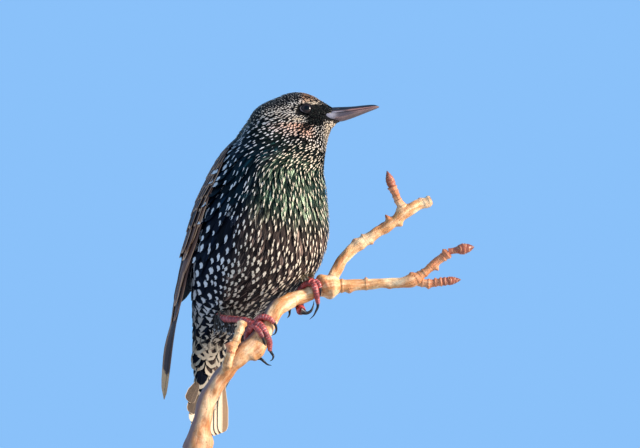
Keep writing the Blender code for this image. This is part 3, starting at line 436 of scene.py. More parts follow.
def bark(w):
    """Thin tan bark: streaks, a grey film, cream patches that are partly painted highlight, dark pores,
    darker rings at the nodes, red young wood, and painted shade on the side away from the key lamp.
    """
    along, turn = w.map_named("bark")
    at = w.place_in()
    streak = w.noise(w.joined(along * 1.2, turn * 9.0), 1.0, 5.0, 0.6)
    cloud = w.noise(at, 170.0, 4.0)
    grit = w.noise(at, 1500.0, 3.0)
    pore = w.cells(w.joined(along * 5.5, turn * 5.0), 1.0).ramp(0.17, 0.07)
    film = w.noise(w.joined(along * 0.8, turn * 3.0), 2.0, 4.0).ramp(0.50, 0.70)
    growth_and_shade = w.mark("growth_and_shade")
    ring, young = growth_and_shade.part(0), growth_and_shade.part(1)
    tan = streak.ramp(0.3, 0.75).tint((0.42, 0.135, 0.032), (0.70, 0.34, 0.11))
    # Cream patches: partly the bark's own paler skin, partly painted highlight.
    band = w.noise(w.joined(along * 0.55, turn * 2.4), 1.0, 3.0)
    tan = (cloud * 0.4 + band * 0.6).ramp(0.42, 0.62).tint(tan, (0.92, 0.61, 0.33))
    tan = (film * 0.22).tint(tan, (0.50, 0.40, 0.34))
    # Painted shade: dark grey on the side turned from the key lamp.
    painted_shade = (growth_and_shade.part(2) * (0.85 + streak * 0.6)).or_less(0.95)
    tan = painted_shade.tint(tan, streak.tint((0.045, 0.042, 0.055), (0.16, 0.14, 0.15)))
    tan = (young * 0.85).tint(tan, cloud.tint((0.40, 0.060, 0.022), (0.66, 0.24, 0.10)))
    tan = (pore * 0.55).tint(tan, (0.13, 0.055, 0.025))
    tan = (ring * 0.6).tint(tan, (0.20, 0.085, 0.04))
    ridge = w.noise(w.joined(along * 4.0, turn * 7.0), 1.0, 5.0, 0.65)
    tan = (ridge.ramp(0.48, 0.38) * (1.0 - young) * 0.42).tint(tan, (0.40, 0.15, 0.050))
    height = streak * 0.45 + ridge * 0.9 + grit * 0.35 - pore * 0.5 - ring * 0.25
    return {
        "Base Color": tan,
        "Roughness": 0.40 + film * 0.2 + grit * 0.2,
        "Normal": height.relief(0.5),
    }


bark_look = look_of("twig bark", bark, Specular_IOR_Level=0.4)
bark_draws = np.random.default_rng(5)
RIGHT_DOWN = (0.635, -0.379, -0.670)
LEFT_UP = (-0.55, 0.29, 0.78)
# Bark facing this way, away from the key lamp, gets painted shade.
SHADED_SIDE = (-0.80, 0.60, 0.10)
NARROW_RING = 1.3  # mm: a swelling shorter than this is a growth ring, with a dark collar


def bark_length(name, path, count, sides, rings=(), scars=(), young=(0.0, 0.0), shade=0.0):
    """One length of twig, closed at both ends.

    Its radius swells by a bell at each ring, given as (share along, height, half length), and on one
    side at each scar or lost bud, given as (share along, direction, height, half length, spread,
    redness). Long low waves keep it from being a plain tube. young is its redness at each end, and
    shade how strongly painted shade, a dark grey, lies on the side turned from the key lamp.
    """
    line, at = drawn_out(path, count)
    turn = even_turns(sides)
    out = unit(rings_round(line, sides) - line[:, None, :3])
    extra = np.zeros((count, sides))
    collar = np.zeros((count, sides))
    red = np.linspace(*young, count)[:, None] + np.zeros((count, sides))
    for share, height, half in rings:
        bell = np.exp(-(((at - share * at[-1]) / half) ** 2))[:, None]
        extra += height * bell
        if half < NARROW_RING:
            edge = np.exp(-(((at - share * at[-1] - 0.8 * half) / 0.35) ** 2))[:, None]
            collar = np.maximum(collar, edge * (0.75 + 0.25 * np.sin(2.0 * turn + 9.0 * share)))
    for share, direction, height, half, spread, redness in scars:
        near = np.exp(-(((at - share * at[-1]) / half) ** 2))[:, None]
        near = near * np.exp(((out @ unit(direction)) - 1.0) / spread**2)
        extra += height * near
        red = np.maximum(red, redness * np.clip(near * 1.6, 0.0, 1.0))
    for lobes in (1, 2, 3, 5):
        for _ in range(3):
            stretch, phase = bark_draws.uniform(0.15, 0.9), bark_draws.uniform(0.0, 6.3)
            extra += 0.09 / lobes**0.5 * np.sin(stretch * at[:, None] + lobes * turn + phase)
    points, faces, corner = shell(rings_round(line, sides, extra))
    flat = np.stack([corner[:, 0] * at[-1] / 10.0, corner[:, 1] * 2.0 * np.pi * path[:, 3].mean() / 10.0], -1)
    # Painted shade: how far each point faces away from the key lamp.
    film = shade * ramp(out @ unit(SHADED_SIDE), 0.30, 0.80)
    growth_and_shade = np.stack([collar, red, film], -1)
    growth_and_shade = np.concatenate([growth_and_shade.reshape(-1, 3), growth_and_shade[[0, -1], 0]])
    made = piece(name + "_bark", points, faces, bark_look, {"bark": flat}, {"growth_and_shade": growth_and_shade}, 70.0)
    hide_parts(name)


bark_length(
    "limb", LIMB, 130, 40,
    rings=((0.0, 2.0, 8.0), (0.21, 0.25, 3.0), (0.63, 0.2, 2.0), (0.86, 0.35, 1.2), (0.97, 0.3, 0.8)),
    scars=(
        (0.045, (0.70, -0.72, 0.0), 1.5, 3.4, 0.6, 0.0),
        (0.565, (0.50, -0.55, -0.66), 2.6, 4.0, 0.62, 0.0),
        (0.530, (0.30, -0.55, -0.78), 1.2, 1.2, 0.5, 0.3),
        (0.60, (0.60, -0.55, -0.58), 0.8, 1.0, 0.6, 0.2),
        (0.46, (-0.5, -0.8, 0.3), 0.8, 3.5, 0.7, 0.0),
        (0.33, (0.7, -0.2, 0.6), 0.5, 2.5, 0.6, 0.0),
        (0.80, (0.1, 0.2, 1.0), 0.5, 1.5, 0.6, 0.4),
    ),
    young=(0.32, 0.0), shade=1.0,
)
bark_length(
    "knob", KNOB, 60, 40,
    rings=((0.16, -0.35, 0.6),),
    scars=(
        (0.38, (-0.55, 0.3, 0.8), 1.3, 1.7, 0.7, 0.1),
        (0.42, (-0.7, -0.7, 0.1), 0.5, 0.7, 0.3, 1.0),
        (0.60, (0.2, -0.8, -0.6), 0.6, 1.8, 0.7, 0.0),
        (0.68, (-0.6, -0.78, -0.2), 0.3, 0.6, 0.25, 1.0),
        (0.62, (0.2, 0.3, 0.9), -0.5, 1.6, 0.6, 0.0),
        (0.86, (0.5, -0.3, 0.8), 0.8, 1.0, 0.6, 0.0),
    ),
    young=(0.15, 0.0),
)
bark_length(
    "twig_low", TWIG_LOW, 150, 28,
    rings=(
        (0.04, 0.5, 0.8), (0.24, 0.3, 0.7), (0.62, 0.35, 2.6), (0.66, 0.35, 0.5), (0.70, 0.3, 0.4),
        (0.74, 0.35, 0.5), (0.80, 0.2, 0.4), (0.94, 0.35, 0.5), (0.98, 0.55, 0.7),
    ),
    scars=(
        (0.10, (0.0, 0.0, -1.0), 1.1, 1.5, 0.6, 0.4),
        (0.245, (0.0, 0.1, 1.0), 0.9, 0.9, 0.6, 0.5),
        (0.43, (0.1, 0.0, -1.0), 0.4, 1.2, 0.6, 0.2),
        (0.64, (-0.1, 0.1, 1.0), 1.1, 1.2, 0.5, 0.4),
        (0.67, (0.0, -0.3, -1.0), 0.6, 1.4, 0.6, 0.2),
        (0.84, RIGHT_DOWN, 2.2, 1.3, 0.45, 1.0),
        (0.97, LEFT_UP, 0.9, 1.0, 0.5, 0.8),
    ),
    young=(-0.9, 1.0),
)
bark_length(
    "twig_fork", FORK_LOW, 60, 22,
    rings=((0.2, 0.35, 0.5), (0.45, 0.4, 0.6), (0.72, 0.3, 0.4), (0.95, 0.5, 0.6)),
    scars=((0.45, (0.0, -0.3, -1.0), 0.9, 1.2, 0.6, 0.8), (0.75, (0.0, 0.0, 1.0), 0.8, 0.8, 0.5, 1.0)),
    young=(0.5, 1.0),
)
bark_length(
    "twig_high", TWIG_HIGH, 150, 28,
    rings=(
        (0.0, 0.8, 3.0), (0.38, 0.25, 1.6), (0.43, 0.2, 0.5), (0.78, 0.35, 2.0), (0.95, 0.35, 0.5),
        (0.985, 0.4, 0.5),
    ),
    scars=(
        (0.36, LEFT_UP, 1.2, 1.7, 0.5, 0.7),
        (0.43, LEFT_UP, 0.7, 0.7, 0.5, 0.4),
        (0.455, RIGHT_DOWN, 1.0, 1.1, 0.5, 0.2),
        (0.60, LEFT_UP, 0.5, 1.6, 0.5, 0.5),
        (0.660, LEFT_UP, 2.8, 1.3, 0.42, 1.0),
        (0.70, RIGHT_DOWN, 1.7, 1.5, 0.5, 0.1),
        (0.78, (-0.3, 0.1, 0.9), 1.0, 2.6, 0.7, 0.1),
        (0.93, LEFT_UP, 0.8, 0.9, 0.5, 0.6),
        (0.97, RIGHT_DOWN, 0.8, 0.8, 0.5, 0.3),
    ),
    young=(0.1, 0.0),
)
bark_length(
    "twig_spur", SPUR_HIGH, 60, 22,
    rings=((0.1, 0.4, 1.2), (0.42, 0.25, 0.4), (0.62, 0.3, 0.4), (0.80, 0.3, 0.4), (0.96, 0.4, 0.5)),
    scars=((0.9, LEFT_UP, 0.9, 0.8, 0.5, 1.0),),
    young=(0.1, 1.0),
)
bark_length(
    "limb_spur", SPUR_LIMB, 100, 26,
    rings=(
        (0.16, 0.5, 1.2), (0.36, 0.35, 0.5), (0.5, 0.3, 0.4), (0.62, 0.3, 0.5), (0.78, 0.4, 0.5),
        (0.95, 0.55, 0.9),
    ),
    scars=(
        (0.50, (-0.75, 0.3, 0.15), 2.2, 1.7, 0.5, 1.0),
        (0.40, (-0.6, -0.5, 0.1), 0.5, 0.5, 0.9, 1.0),
        (0.62, (0.7, -0.6, 0.2), 0.8, 1.0, 0.5, 0.0),
        (0.84, (0.75, -0.6, 0.0), 0.7, 1.0, 0.5, 0.0),
        (0.92, (-0.6, 0.5, 0.6), 0.5, 0.9, 0.5, 0.2),
    ),
)


# ---------------------------------------------------------------- buds
# Winter buds close three of the spurs: pointed, with hard red-brown scales that lap like tiles.

# Each bud's foot, its tip and its greatest radius.
BUDS = {
    "bud_low": ((66.6, -71.8, -7.6), (74.8, -79.9, -5.6), 2.7),
    "bud_fork": ((65.9, -67.7, -22.2), (71.6, -73.6, -21.4), 2.3),
    "bud_high": ((50.2, -47.3, 27.2), (47.2, -47.1, 34.2), 2.3),
}


def bud_scale(w):
    """Red-brown scale, darker at its root and dry and pale along its edge."""
    along, _ = w.map_named("scale")
    edge = w.mark("edge", 2)
    cloud = w.noise(w.place_in(), 900.0)
    red = cloud.tint((0.20, 0.035, 0.016), (0.42, 0.115, 0.05))
    red = along.ramp(0.55, 1.0).tint(red, (0.13, 0.022, 0.012))
    red = (edge * 0.6).tint(red, (0.52, 0.26, 0.12))
    return {"Base Color": red, "Roughness": 0.35 + cloud * 0.25, "Normal": cloud.relief(0.1)}


bud_look = look_of("bud scale", bud_scale)
# How thick each bud is along its length: a neck or collar first, then the bud itself.
BUD_SHAPES = {
    "bud_low": (
        (0.0, 0.62), (0.18, 0.55), (0.36, 0.66), (0.44, 0.92), (0.58, 1.0), (0.78, 0.78), (0.93, 0.34),
        (1.0, 0.04),
    ),
    "bud_fork": (
        (0.0, 0.80), (0.16, 0.98), (0.24, 0.82), (0.45, 0.92), (0.7, 0.66), (0.9, 0.28), (1.0, 0.04),
    ),
    "bud_high": ((0.0, 0.72), (0.14, 0.9), (0.35, 1.0), (0.55, 0.85), (0.75, 0.5), (0.9, 0.25), (1.0, 0.03)),
}
SCALE_ROWS = 4.6
for name, (start, tip, radius) in BUDS.items():
    start, tip = np.array(start), np.array(tip)
    start = start - 1.1 * unit(tip - start)
    t = np.linspace(0.0, 1.0, 56)
    wide = radius * np.interp(t, *np.array(BUD_SHAPES[name]).T)
    line = np.concatenate([start + (tip - start) * t[:, None], wide[:, None]], -1)
    turn = even_turns(32)
    # Each scale is one tooth of a saw along the bud, drawn to a point by a wave round it.
    row = np.floor(t * SCALE_ROWS)[:, None]
    saw = (t[:, None] * SCALE_ROWS + 0.30 * np.cos(2.0 * turn + 1.57 * row)) % 1.0
    extra = 0.34 * (saw - 0.5) * np.sin(np.pi * np.clip(t, 0.04, 0.96))[:, None]
    points, faces, corner = shell(rings_round(line, 32, extra))
    dry = np.concatenate([np.clip(saw * 3.0 - 2.0, 0.0, 1.0).ravel(), [0.0, 0.0]])
    marks = {"edge": dry[:, None] * np.ones(3)}
    made = piece(name + "_scales", points, faces, bud_look, {"scale": corner}, marks, 70.0)
    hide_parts(name)


# ---------------------------------------------------------------- body
# The bird's skin is one closed form from vent to bill. It lies under the coat, as deep as the
# feathers are thick, and is stained like the feathers over it.

LEAN = math.radians(27.4)
AXIS = np.array([0.0, -math.sin(LEAN), math.cos(LEAN)])
BACK = np.array([0.0, math.cos(LEAN), math.sin(LEAN)])
# Height along the trunk's axis, centre towards the back, half width, radius to the breast and to the back.
TRUNK = np.array(
    [
        (-88.0, -4.0, 8.5, 4.0, 4.0),
        (-75.0, 2.0, 9.5, 5.0, 5.0),
        (-65.0, 7.0, 10.5, 6.5, 6.0),
        (-55.0, 9.5, 12.0, 9.0, 8.5),
        (-45.0, 8.0, 16.0, 13.0, 12.0),
        (-36.0, 3.5, 21.5, 18.0, 18.0),
        (-25.0, 0.0, 27.2, 23.0, 23.5),
        (-14.0, -3.0, 31.3, 27.8, 28.0),
        (0.0, -4.0, 33.4, 32.8, 31.0),
        (15.0, -3.0, 33.0, 32.8, 31.0),
        (29.0, 0.0, 29.8, 29.8, 29.0),
        (42.0, 3.0, 25.2, 26.0, 24.6),
        (50.0, 4.5, 20.5, 19.5, 21.5),
        (58.0, 6.5, 16.0, 15.5, 17.0),
    ]
)
TRUNK_TOP = 11.0  # how far the trunk's rounded top reaches above its last station
HEAD = np.array([3.0, -24.6, 61.5])
HEAD_TURN = math.radians(50.0)
FORWARD = np.array([math.sin(HEAD_TURN), -math.cos(HEAD_TURN), 0.0])
LEFT = np.array([math.cos(HEAD_TURN), math.sin(HEAD_TURN), 0.0])
UP = np.array([0.0, 0.0, 1.0])
CRANIUM = ((3.0, -1.8), (15.0, 11.3, 11.6))  # the skull's middle (forward, up) and its radii
# Cones of lore, chin, throat and nape: (forward, up, radius) at each end.
HEAD_CONES = (
    ((8.0, -1.0, 8.0), (21.5, -0.8, 3.6)),
    ((13.0, -6.0, 6.5), (23.8, -4.0, 1.7)),
    ((9.3, -9.2, 10.4), (5.0, -20.0, 12.8)),
    ((-5.0, -5.0, 10.0), (-11.0, -16.5, 14.0)),
)
HEAD_BLEND = 3.0  # how softly forms run into each other, in mm
NECK_BLEND = 6.0
GRIPPED = 5  # first station of the limb that the belly lies on
PERCH_ROOM = 6.6  # distance kept from the limb's axis
PERCH_SOFT = 4.0
# Rings of the body: (x, y, z, turn, tilt) from below the vent up to the face.
SPINE = np.array(
    [
        (0.0, 37.0, -71.0, 0.0, 0.0),
        (0.0, 36.0, -62.0, 0.0, 4.0),
        (0.0, 33.0, -52.0, 0.0, 13.0),
        (0.0, 25.0, -41.0, 0.0, 22.0),
        (0.0, 12.5, -25.0, 0.0, 27.4),
        (0.0, 2.5, -8.0, 0.0, 27.4),
        (0.0, -6.0, 10.0, 0.0, 27.4),
        (0.0, -13.5, 27.0, 0.0, 27.4),
        (0.0, -18.5, 38.5, 0.0, 27.4),
        (1.0, -21.5, 45.5, 25.0, 29.0),
        (3.0, -24.6, 51.2, 50.0, 31.2),
        (8.0, -28.7, 54.8, 50.0, 40.0),
        (12.1, -32.3, 57.9, 50.0, 48.0),
        (16.6, -36.0, 59.5, 50.0, 56.0),
        (20.4, -39.2, 60.2, 50.0, 64.0),
    ]
)


def soft_min(a, b, width):
    """The lower of a and b, rounded where they are within width of each other."""
    h = np.clip(0.5 + 0.5 * (b - a) / width, 0.0, 1.0)
    return b * (1.0 - h) + a * h - width * h * (1.0 - h)


def trunk_field(p):
    """About the distance outside the trunk, negative inside it."""
    height = p @ AXIS
    depth = p @ BACK
    stations = TRUNK[:, 0]
    centre, side, front, rear = (through(height, stations, TRUNK[:, i]) for i in range(1, 5))
    radius = np.where(depth < centre, front, rear)
    over = np.maximum(height - stations[-1], 0.0) / TRUNK_TOP
    ratio = np.sqrt((p[..., 0] / side) ** 2 + ((depth - centre) / radius) ** 2 + over**2)
    return (ratio - 1.0) * np.minimum(side, radius)


def in_head(p):
    """A point in the head's own frame: forward, left and up of its middle."""
    away = p - HEAD
    return away @ FORWARD, away @ LEFT, away @ UP


def head_field(p):
    """About the distance outside the head: an egg for the skull, and cones for face, chin and throat."""
    f, s, u = in_head(p)
    (cf, cu), (af, a_s, au) = CRANIUM
    field = (np.sqrt(((f - cf) / af) ** 2 + (s / a_s) ** 2 + ((u - cu) / au) ** 2) - 1.0) * min(a_s, au)
    for (f0, u0, r0), (f1, u1, r1) in HEAD_CONES:
        run = (f1 - f0) ** 2 + (u1 - u0) ** 2
        t = np.clip(((f - f0) * (f1 - f0) + (u - u0) * (u1 - u0)) / run, 0.0, 1.0)
        gap = np.sqrt((f - f0 - t * (f1 - f0)) ** 2 + s**2 + (u - u0 - t * (u1 - u0)) ** 2)
        field = soft_min(field, gap - (r0 + t * (r1 - r0)), HEAD_BLEND)
    return field


def body_field(p):
    """Trunk and head in one, pressed in where the perch passes under the belly."""
    body = soft_min(trunk_field(p), head_field(p), NECK_BLEND)
    nearest = np.full(p.shape[:-1], 1e3)
    for a, b in zip(LIMB[GRIPPED:-1, :3], LIMB[GRIPPED + 1 :, :3]):
        t = np.clip(((p - a) @ (b - a)) / ((b - a) @ (b - a)), 0.0, 1.0)
        nearest = np.minimum(nearest, np.linalg.norm(p - a - t[..., None] * (b - a), axis=-1))
    return -soft_min(-body, nearest - PERCH_ROOM, PERCH_SOFT)


def ring_frames(t):
    """Centre and the two axes of the body's ring planes at spine places t."""
    places = np.arange(len(SPINE), dtype=float)
    x, y, z, turn, tilt = (through(t, places, SPINE[:, i]) for i in range(5))
    turn, tilt = np.radians(turn), np.radians(tilt)
    across = np.stack([np.cos(turn), np.sin(turn), np.zeros_like(turn)], -1)
    normal = np.stack([np.sin(tilt) * np.sin(turn), -np.sin(tilt) * np.cos(turn), np.cos(tilt)], -1)
    return np.stack([x, y, z], -1), across, np.cross(normal, across)


# The body's surface is worked out once, on a grid of spine places and angles round the spine
# (0 the bird's left, 90 its back), and every later shape reads it from there.
LOW_END, TOP_END, ROWS, SIDES = -1.6, 14.0, 313, 144
GRID_T = np.linspace(LOW_END, TOP_END, ROWS)
GRID_TURN = even_turns(SIDES)


def body_surface():
    """Where rays from the spine leave the body, by halving. Below the vent the rings draw in."""
    centre, across, rise = ring_frames(GRID_T)
    sideways = np.cos(GRID_TURN)[None, :, None] * across[:, None]
    ray = sideways + np.sin(GRID_TURN)[None, :, None] * rise[:, None]
    near = np.zeros(ray.shape[:2])
    far = np.full(ray.shape[:2], 55.0)
    for _ in range(28):
        middle = 0.5 * (near + far)
        inside = body_field(centre[:, None] + ray * middle[..., None]) < 0.0
        near = np.where(inside, middle, near)
        far = np.where(inside, far, middle)
    below = np.clip(-GRID_T, 0.0, None)
    near = near * (1.0 - 0.28 * below)[:, None]
    centre = centre + below[:, None] * np.array([-1.2, 0.2, -10.0])
    return centre[:, None] + ray * near[..., None]


BODY = body_surface()
# The nape is drawn in where the hind neck meets the mantle: (x, y, z, depth, radius) of each dent.
for x, y, z, depth, radius in ((-1.0, -9.0, 59.0, 2.4, 12.0), (-20.5, -9.0, 48.0, 3.2, 8.0)):
    near = np.exp(-((np.linalg.norm(BODY - (x, y, z), axis=-1) / radius) ** 2))
    BODY = BODY - (depth * near)[..., None] * unit(BODY - BODY.mean(1, keepdims=True))
ALONG_BODY = np.gradient(BODY, GRID_T, axis=0)
ROUND_BODY = (np.roll(BODY, -1, 1) - np.roll(BODY, 1, 1)) / (2.0 * (GRID_TURN[1] - GRID_TURN[0]))
OUT_BODY = unit(np.cross(ROUND_BODY, ALONG_BODY))
PACE = np.linalg.norm(ALONG_BODY, axis=-1)
GIRTH = np.linalg.norm(ROUND_BODY, axis=-1)


def read(grid, t, turn):
    """The grid's value at any spine place and angle, straight between its nearest four."""
    i = np.clip((t - LOW_END) / (TOP_END - LOW_END) * (ROWS - 1), 0.0, ROWS - 1.001)
    j = (turn / (2.0 * np.pi) * SIDES) % SIDES
    i0, j0 = i.astype(int), j.astype(int) % SIDES
    j1 = (j0 + 1) % SIDES
    a, b = i - i0, j - np.floor(j)
    if grid.ndim == 3:
        a, b = a[..., None], b[..., None]
    low = grid[i0, j0] * (1.0 - b) + grid[i0, j1] * b
    high = grid[i0 + 1, j0] * (1.0 - b) + grid[i0 + 1, j1] * b
    return low * (1.0 - a) + high * a


def mix(weight, a, b):
    """A number that goes from a to b as the weight goes from 0 to 1."""
    return a * (1.0 - weight) + b * weight


def blend(weight, a, b):
    """A colour that goes from a to b as the weight goes from 0 to 1."""
    return mix(weight[..., None], a, b)


# Colours of the webs, of the glossy strands in them and of the pale marks at their tips.
BLACK = np.array((0.0022, 0.0022, 0.003))
GREEN = np.array((0.004, 0.013, 0.009))
TEAL = np.array((0.0015, 0.007, 0.011))
BLUE = np.array((0.0015, 0.0026, 0.007))
BROWN = np.array((0.023, 0.0145, 0.012))
CREAM = np.array((0.80, 0.64, 0.47))
WHITE = np.array((0.62, 0.60, 0.60))
BUFF = np.array((0.42, 0.28, 0.15))
ROSY = np.array((0.74, 0.40, 0.28))
# Painted sheen: the pale green of lit strands on the bib.
PAINTED_SHEEN_GREEN = np.array((0.34, 0.40, 0.25))
DEEP_GREEN = np.array((0.014, 0.058, 0.040))
DEEP_TEAL = np.array((0.002, 0.030, 0.040))
DEEP_BLUE = np.array((0.002, 0.006, 0.015))
GREY_BROWN = np.array((0.230, 0.146, 0.108))
RUST = np.array((0.40, 0.185, 0.095))

THIGHS = np.array([(-20.0, -6.0, -38.0), (15.0, -19.0, -14.0)])  # where each shank leaves the coat
DEPTH_T = (-1.6, 0.0, 2.0, 5.0, 8.0, 10.0, 12.0, 14.0)
DEPTHS = (0.7, 1.0, 1.7, 1.9, 1.5, 1.1, 0.8, 0.5)


def coat_depth(t):
    """How far the skin lies under the feathers' surface: deepest on the belly, least on the face."""
    return np.interp(t, DEPTH_T, DEPTHS)


def from_breast(turn):
    """Degrees round the body from the middle of the breast: 0 there and 180 along the back."""
    return np.degrees(np.abs(np.angle(np.exp(1j * (turn + np.pi / 2.0)))))


def bump(f, v, middle_f, middle_v, half_f, half_v, power=2):
    """1 in the middle of an oval on the side of the head, falling off round it."""
    return np.exp(-(np.abs((f - middle_f) / half_f) ** power + np.abs((v - middle_v) / half_v) ** power))


def stain(p, t, turn):
    """The plumage at a place: ground, strand and mark colours, and (mark width, length, bar, gloss).

    Width and length are shares of a feather's. Bar is 0 for a drop at the tip, a half for a
    pointed spot and 1 for a dark feather with a pale edge in a V.
    """
    side = from_breast(turn)
    f, s, u = in_head(p)
    v = 0.985 * u + 0.174 * np.abs(s)

    # Trunk: brown belly, blue-black flank, green bib turning teal at the side, green-black back. The bib's
    # pale green strands are painted sheen.
    head = ramp(t, 9.3, 10.7)
    back = ramp(side, 122.0, 142.0)
    flank = ramp(side, 40.0, 62.0)
    bib = ramp(t, 6.3, 7.2) * (1.0 - head)
    ground = blend(flank, BROWN, BLUE)
    ground = blend(bib * (1.0 - flank), ground, GREEN)
    ground = blend(bib * flank, ground, TEAL)
    strand = blend(flank, GREY_BROWN, DEEP_BLUE)
    # Painted sheen: pale green on the bib's strands, strong on the breast's middle and the bird's left, which
    # face the key lamp, and weak on its right.
    painted_sheen = mix(ramp(side, 5.0, 45.0) * ramp(p[..., 0], 8.0, -4.0), 0.95, 0.35)
    painted_sheen = painted_sheen * ramp(t, 6.3, 7.2) * ramp(t, 9.5, 8.5)
    strand = blend(bib * (1.0 - flank), strand, DEEP_GREEN)
    strand = blend(bib * flank * ramp(side, 85.0, 60.0), strand, DEEP_TEAL)
    strand = blend(painted_sheen * (1.0 - flank), strand, PAINTED_SHEEN_GREEN)
    ground = blend(ramp(t, 8.6, 9.4) * (1.0 - head), ground, 0.25 * GREEN + 0.75 * BLACK)
    strand = blend(ramp(t, 8.8, 9.5) * (1.0 - head), strand, 0.3 * DEEP_GREEN)
    ground = blend(back * ramp(t, -0.5, 1.5), ground, 0.35 * GREEN + 0.65 * BROWN)
    strand = blend(back * ramp(t, -0.5, 1.5), strand, 0.5 * DEEP_GREEN + 0.12 * GREY_BROWN)
    ground = blend(head, ground, BLACK)
    strand = blend(head, strand, 0.05 * GREY_BROWN)
    gloss = 0.2 + 0.35 * bib

    # Marks: cream in front, white on the flank, buff on the back, dull cream at the vent.
    mark = blend(flank, CREAM, WHITE)
    mark = blend(back, mark, BUFF)
    vent = ramp(t, 4.0, 2.6) * (1.0 - back)
    mark = blend(vent, mark, 0.66 * CREAM)
    seam = ramp(side, 84.0, 94.0) * ramp(side, 126.0, 118.0) * ramp(t, 2.5, 3.5) * ramp(t, 8.6, 8.0)
    rump = ramp(side, 108.0, 124.0)
    ruff = ramp(t, 8.2, 9.0) * ramp(t, 10.8, 10.2) * (1.0 - flank)
    wide = mix(flank, 0.48, 0.53)
    wide = mix(bib, wide, mix(flank, 0.49, 0.46))
    long = mix(flank, 0.30, 0.28)
    long = mix(bib, long, mix(flank, 0.30, 0.25))
    wide = mix(head, wide, 0.305)
    long = mix(head, long, 0.56)
    wide = mix(back, wide, 0.8)
    long = mix(back, long, 0.12)
    wide = wide + 0.12 * seam + 0.05 * ruff
    long = long + 0.20 * seam + 0.08 * ruff
    bar = mix(ramp(t, 4.6, 3.6) * (1.0 - rump), 0.0, 0.5)
    bar = mix(ramp(t, 3.3, 2.0) * (1.0 - rump), bar, 1.0)

    # Head: buff forehead, pale cheek, rosy throat band, cream chin, black lore, dark whisker patch.
    mark = blend(head, mark, 0.42 * CREAM + 0.48 * WHITE)
    crown = head * ramp(v, 2.6, 5.5)
    mark = blend(crown, mark, 0.25 * CREAM + 0.75 * WHITE)
    strand = blend(crown, strand, 0.8 * BLACK)
    ground = blend(head, ground, 0.6 * BLACK)
    wide = wide + 0.03 * crown
    forehead = head * ramp(v, 2.4, 4.2) * ramp(f, 6.0, 11.0)
    ground = blend(forehead, ground, 0.4 * BROWN)
    strand = blend(forehead, strand, 0.14 * RUST)
    mark = blend(forehead, mark, 1.15 * RUST + 0.05 * CREAM)
    brow = bump(f, v, 14.0, 3.0, 7.0, 1.7) * head
    mark = blend(brow, mark, 0.85 * CREAM)
    wide = wide + 0.04 * forehead + 0.15 * brow
    long = long + 0.10 * forehead
    throat = ramp(v, -4.6, -6.2) * ramp(v, -14.5, -10.5) * ramp(f, -12.0, -6.0) * ramp(f, 15.0, 11.0) * head
    mark = blend(throat, mark, ROSY)
    strand = blend(throat, strand, 0.10 * ROSY)
    band = bump(f, v, 2.5, -7.4, 11.0, 2.0) * head
    ear = bump(f, v, -8.5, -0.6, 4.0, 3.0) * head
    wide = wide + 0.26 * ear + 0.06 * throat + 0.14 * band
    long = long + 0.16 * ear + 0.10 * throat + 0.20 * band
    under_eye = bump(f, v, 6.0, -3.3, 3.6, 1.3) * head
    behind_eye = bump(f, v, 3.0, 0.3, 1.8, 3.2) * head
    mark = blend(under_eye, mark, 0.55 * CREAM + 0.25 * BUFF)
    wide = wide + 0.40 * under_eye + 0.25 * behind_eye
    long = long + 0.25 * under_eye + 0.15 * behind_eye
    chin = ramp(f, 16.8, 19.2) * ramp(v, -4.0, -5.2) * head
    mark = blend(chin, mark, 0.9 * CREAM + 0.1 * RUST)
    ground = blend(chin, ground, 0.5 * BROWN + 0.03 * CREAM)
    strand = blend(chin, strand, 0.28 * CREAM)
    wide = wide + 0.22 * chin
    long = long + 0.12 * chin
    along = 0.91 * (f - 10.4) + 0.41 * (v + 6.2)
    above = 0.91 * (v + 6.2) - 0.41 * (f - 10.4)
    whisker = 0.74 * bump(along, above, 0.0, 0.0, 6.4, 2.4) * head
    jaw = bump(f, v, 14.4, -2.6, 4.4, 4.4, 4) * head
    lore = bump(f, v, 15.5, 0.75, 7.4, 2.35 - 0.06 * (f - 12.0), 4) * head
    socket = bump(f, v, 8.3, 0.8, 3.3, 2.9, 4) * head
    lore = np.maximum(lore, socket)
    dark = np.maximum(np.maximum(whisker, jaw), lore) * (1.0 - 0.9 * chin)
    ground = blend(dark, ground, 0.4 * BLACK)
    for thigh in THIGHS:
        near = np.exp(-((np.linalg.norm(p - thigh, axis=-1) / 9.0) ** 4))
        wide = wide * (1.0 - 0.85 * near)
        ground = blend(near, ground, 0.5 * BLUE + 0.5 * BLACK)
        strand = blend(near, strand, 0.10 * GREY_BROWN)
    strand = blend(np.clip(dark * 1.3, 0.0, 1.0), strand, 0.10 * DEEP_GREEN + 0.02 * DEEP_TEAL)
    wide = wide * (1.0 - ramp(dark, 0.25, 0.75))
    gloss = mix(lore, gloss, 0.0)
    return ground, strand, mark, np.stack([wide, long, bar, gloss], -1)


EYE = (8.0, 7.6, -0.8)  # forward, out and up of the eyeball's middle
EYE_RADIUS = 3.4
EYE_OPEN = 2.4  # radius of the opening between the lids


def head_point(f, s, u):
    """A point of the head's own frame."""
    return HEAD + np.multiply.outer(f, FORWARD) + np.multiply.outer(s, LEFT) + np.multiply.outer(u, UP)


def eye_axis(side):
    """Out of the eye, and the middle of the eyeball."""
    f, s, u = EYE
    return unit(side * LEFT + 0.16 * FORWARD + 0.05 * UP), head_point(f, side * s, u)


def sunk_sockets(points, out):
    """The skin dips round each eye, as the orbit does."""
    for side in (-1.0, 1.0):
        axis, middle = eye_axis(side)
        away = points - middle
        flat = away - (away @ axis)[..., None] * axis
        near = np.exp(-((np.linalg.norm(flat, axis=-1) / 3.4) ** 2)) * (away @ axis > 0.0)
        points = points - (1.3 * near)[..., None] * out
    return points


# ---------------------------------------------------------------- where the feathers grow
# Feathers grow in rows round the body, each one set between two of the row before, and lie back
# from the bill towards the tail. They are smallest on the face and largest on back and flanks.

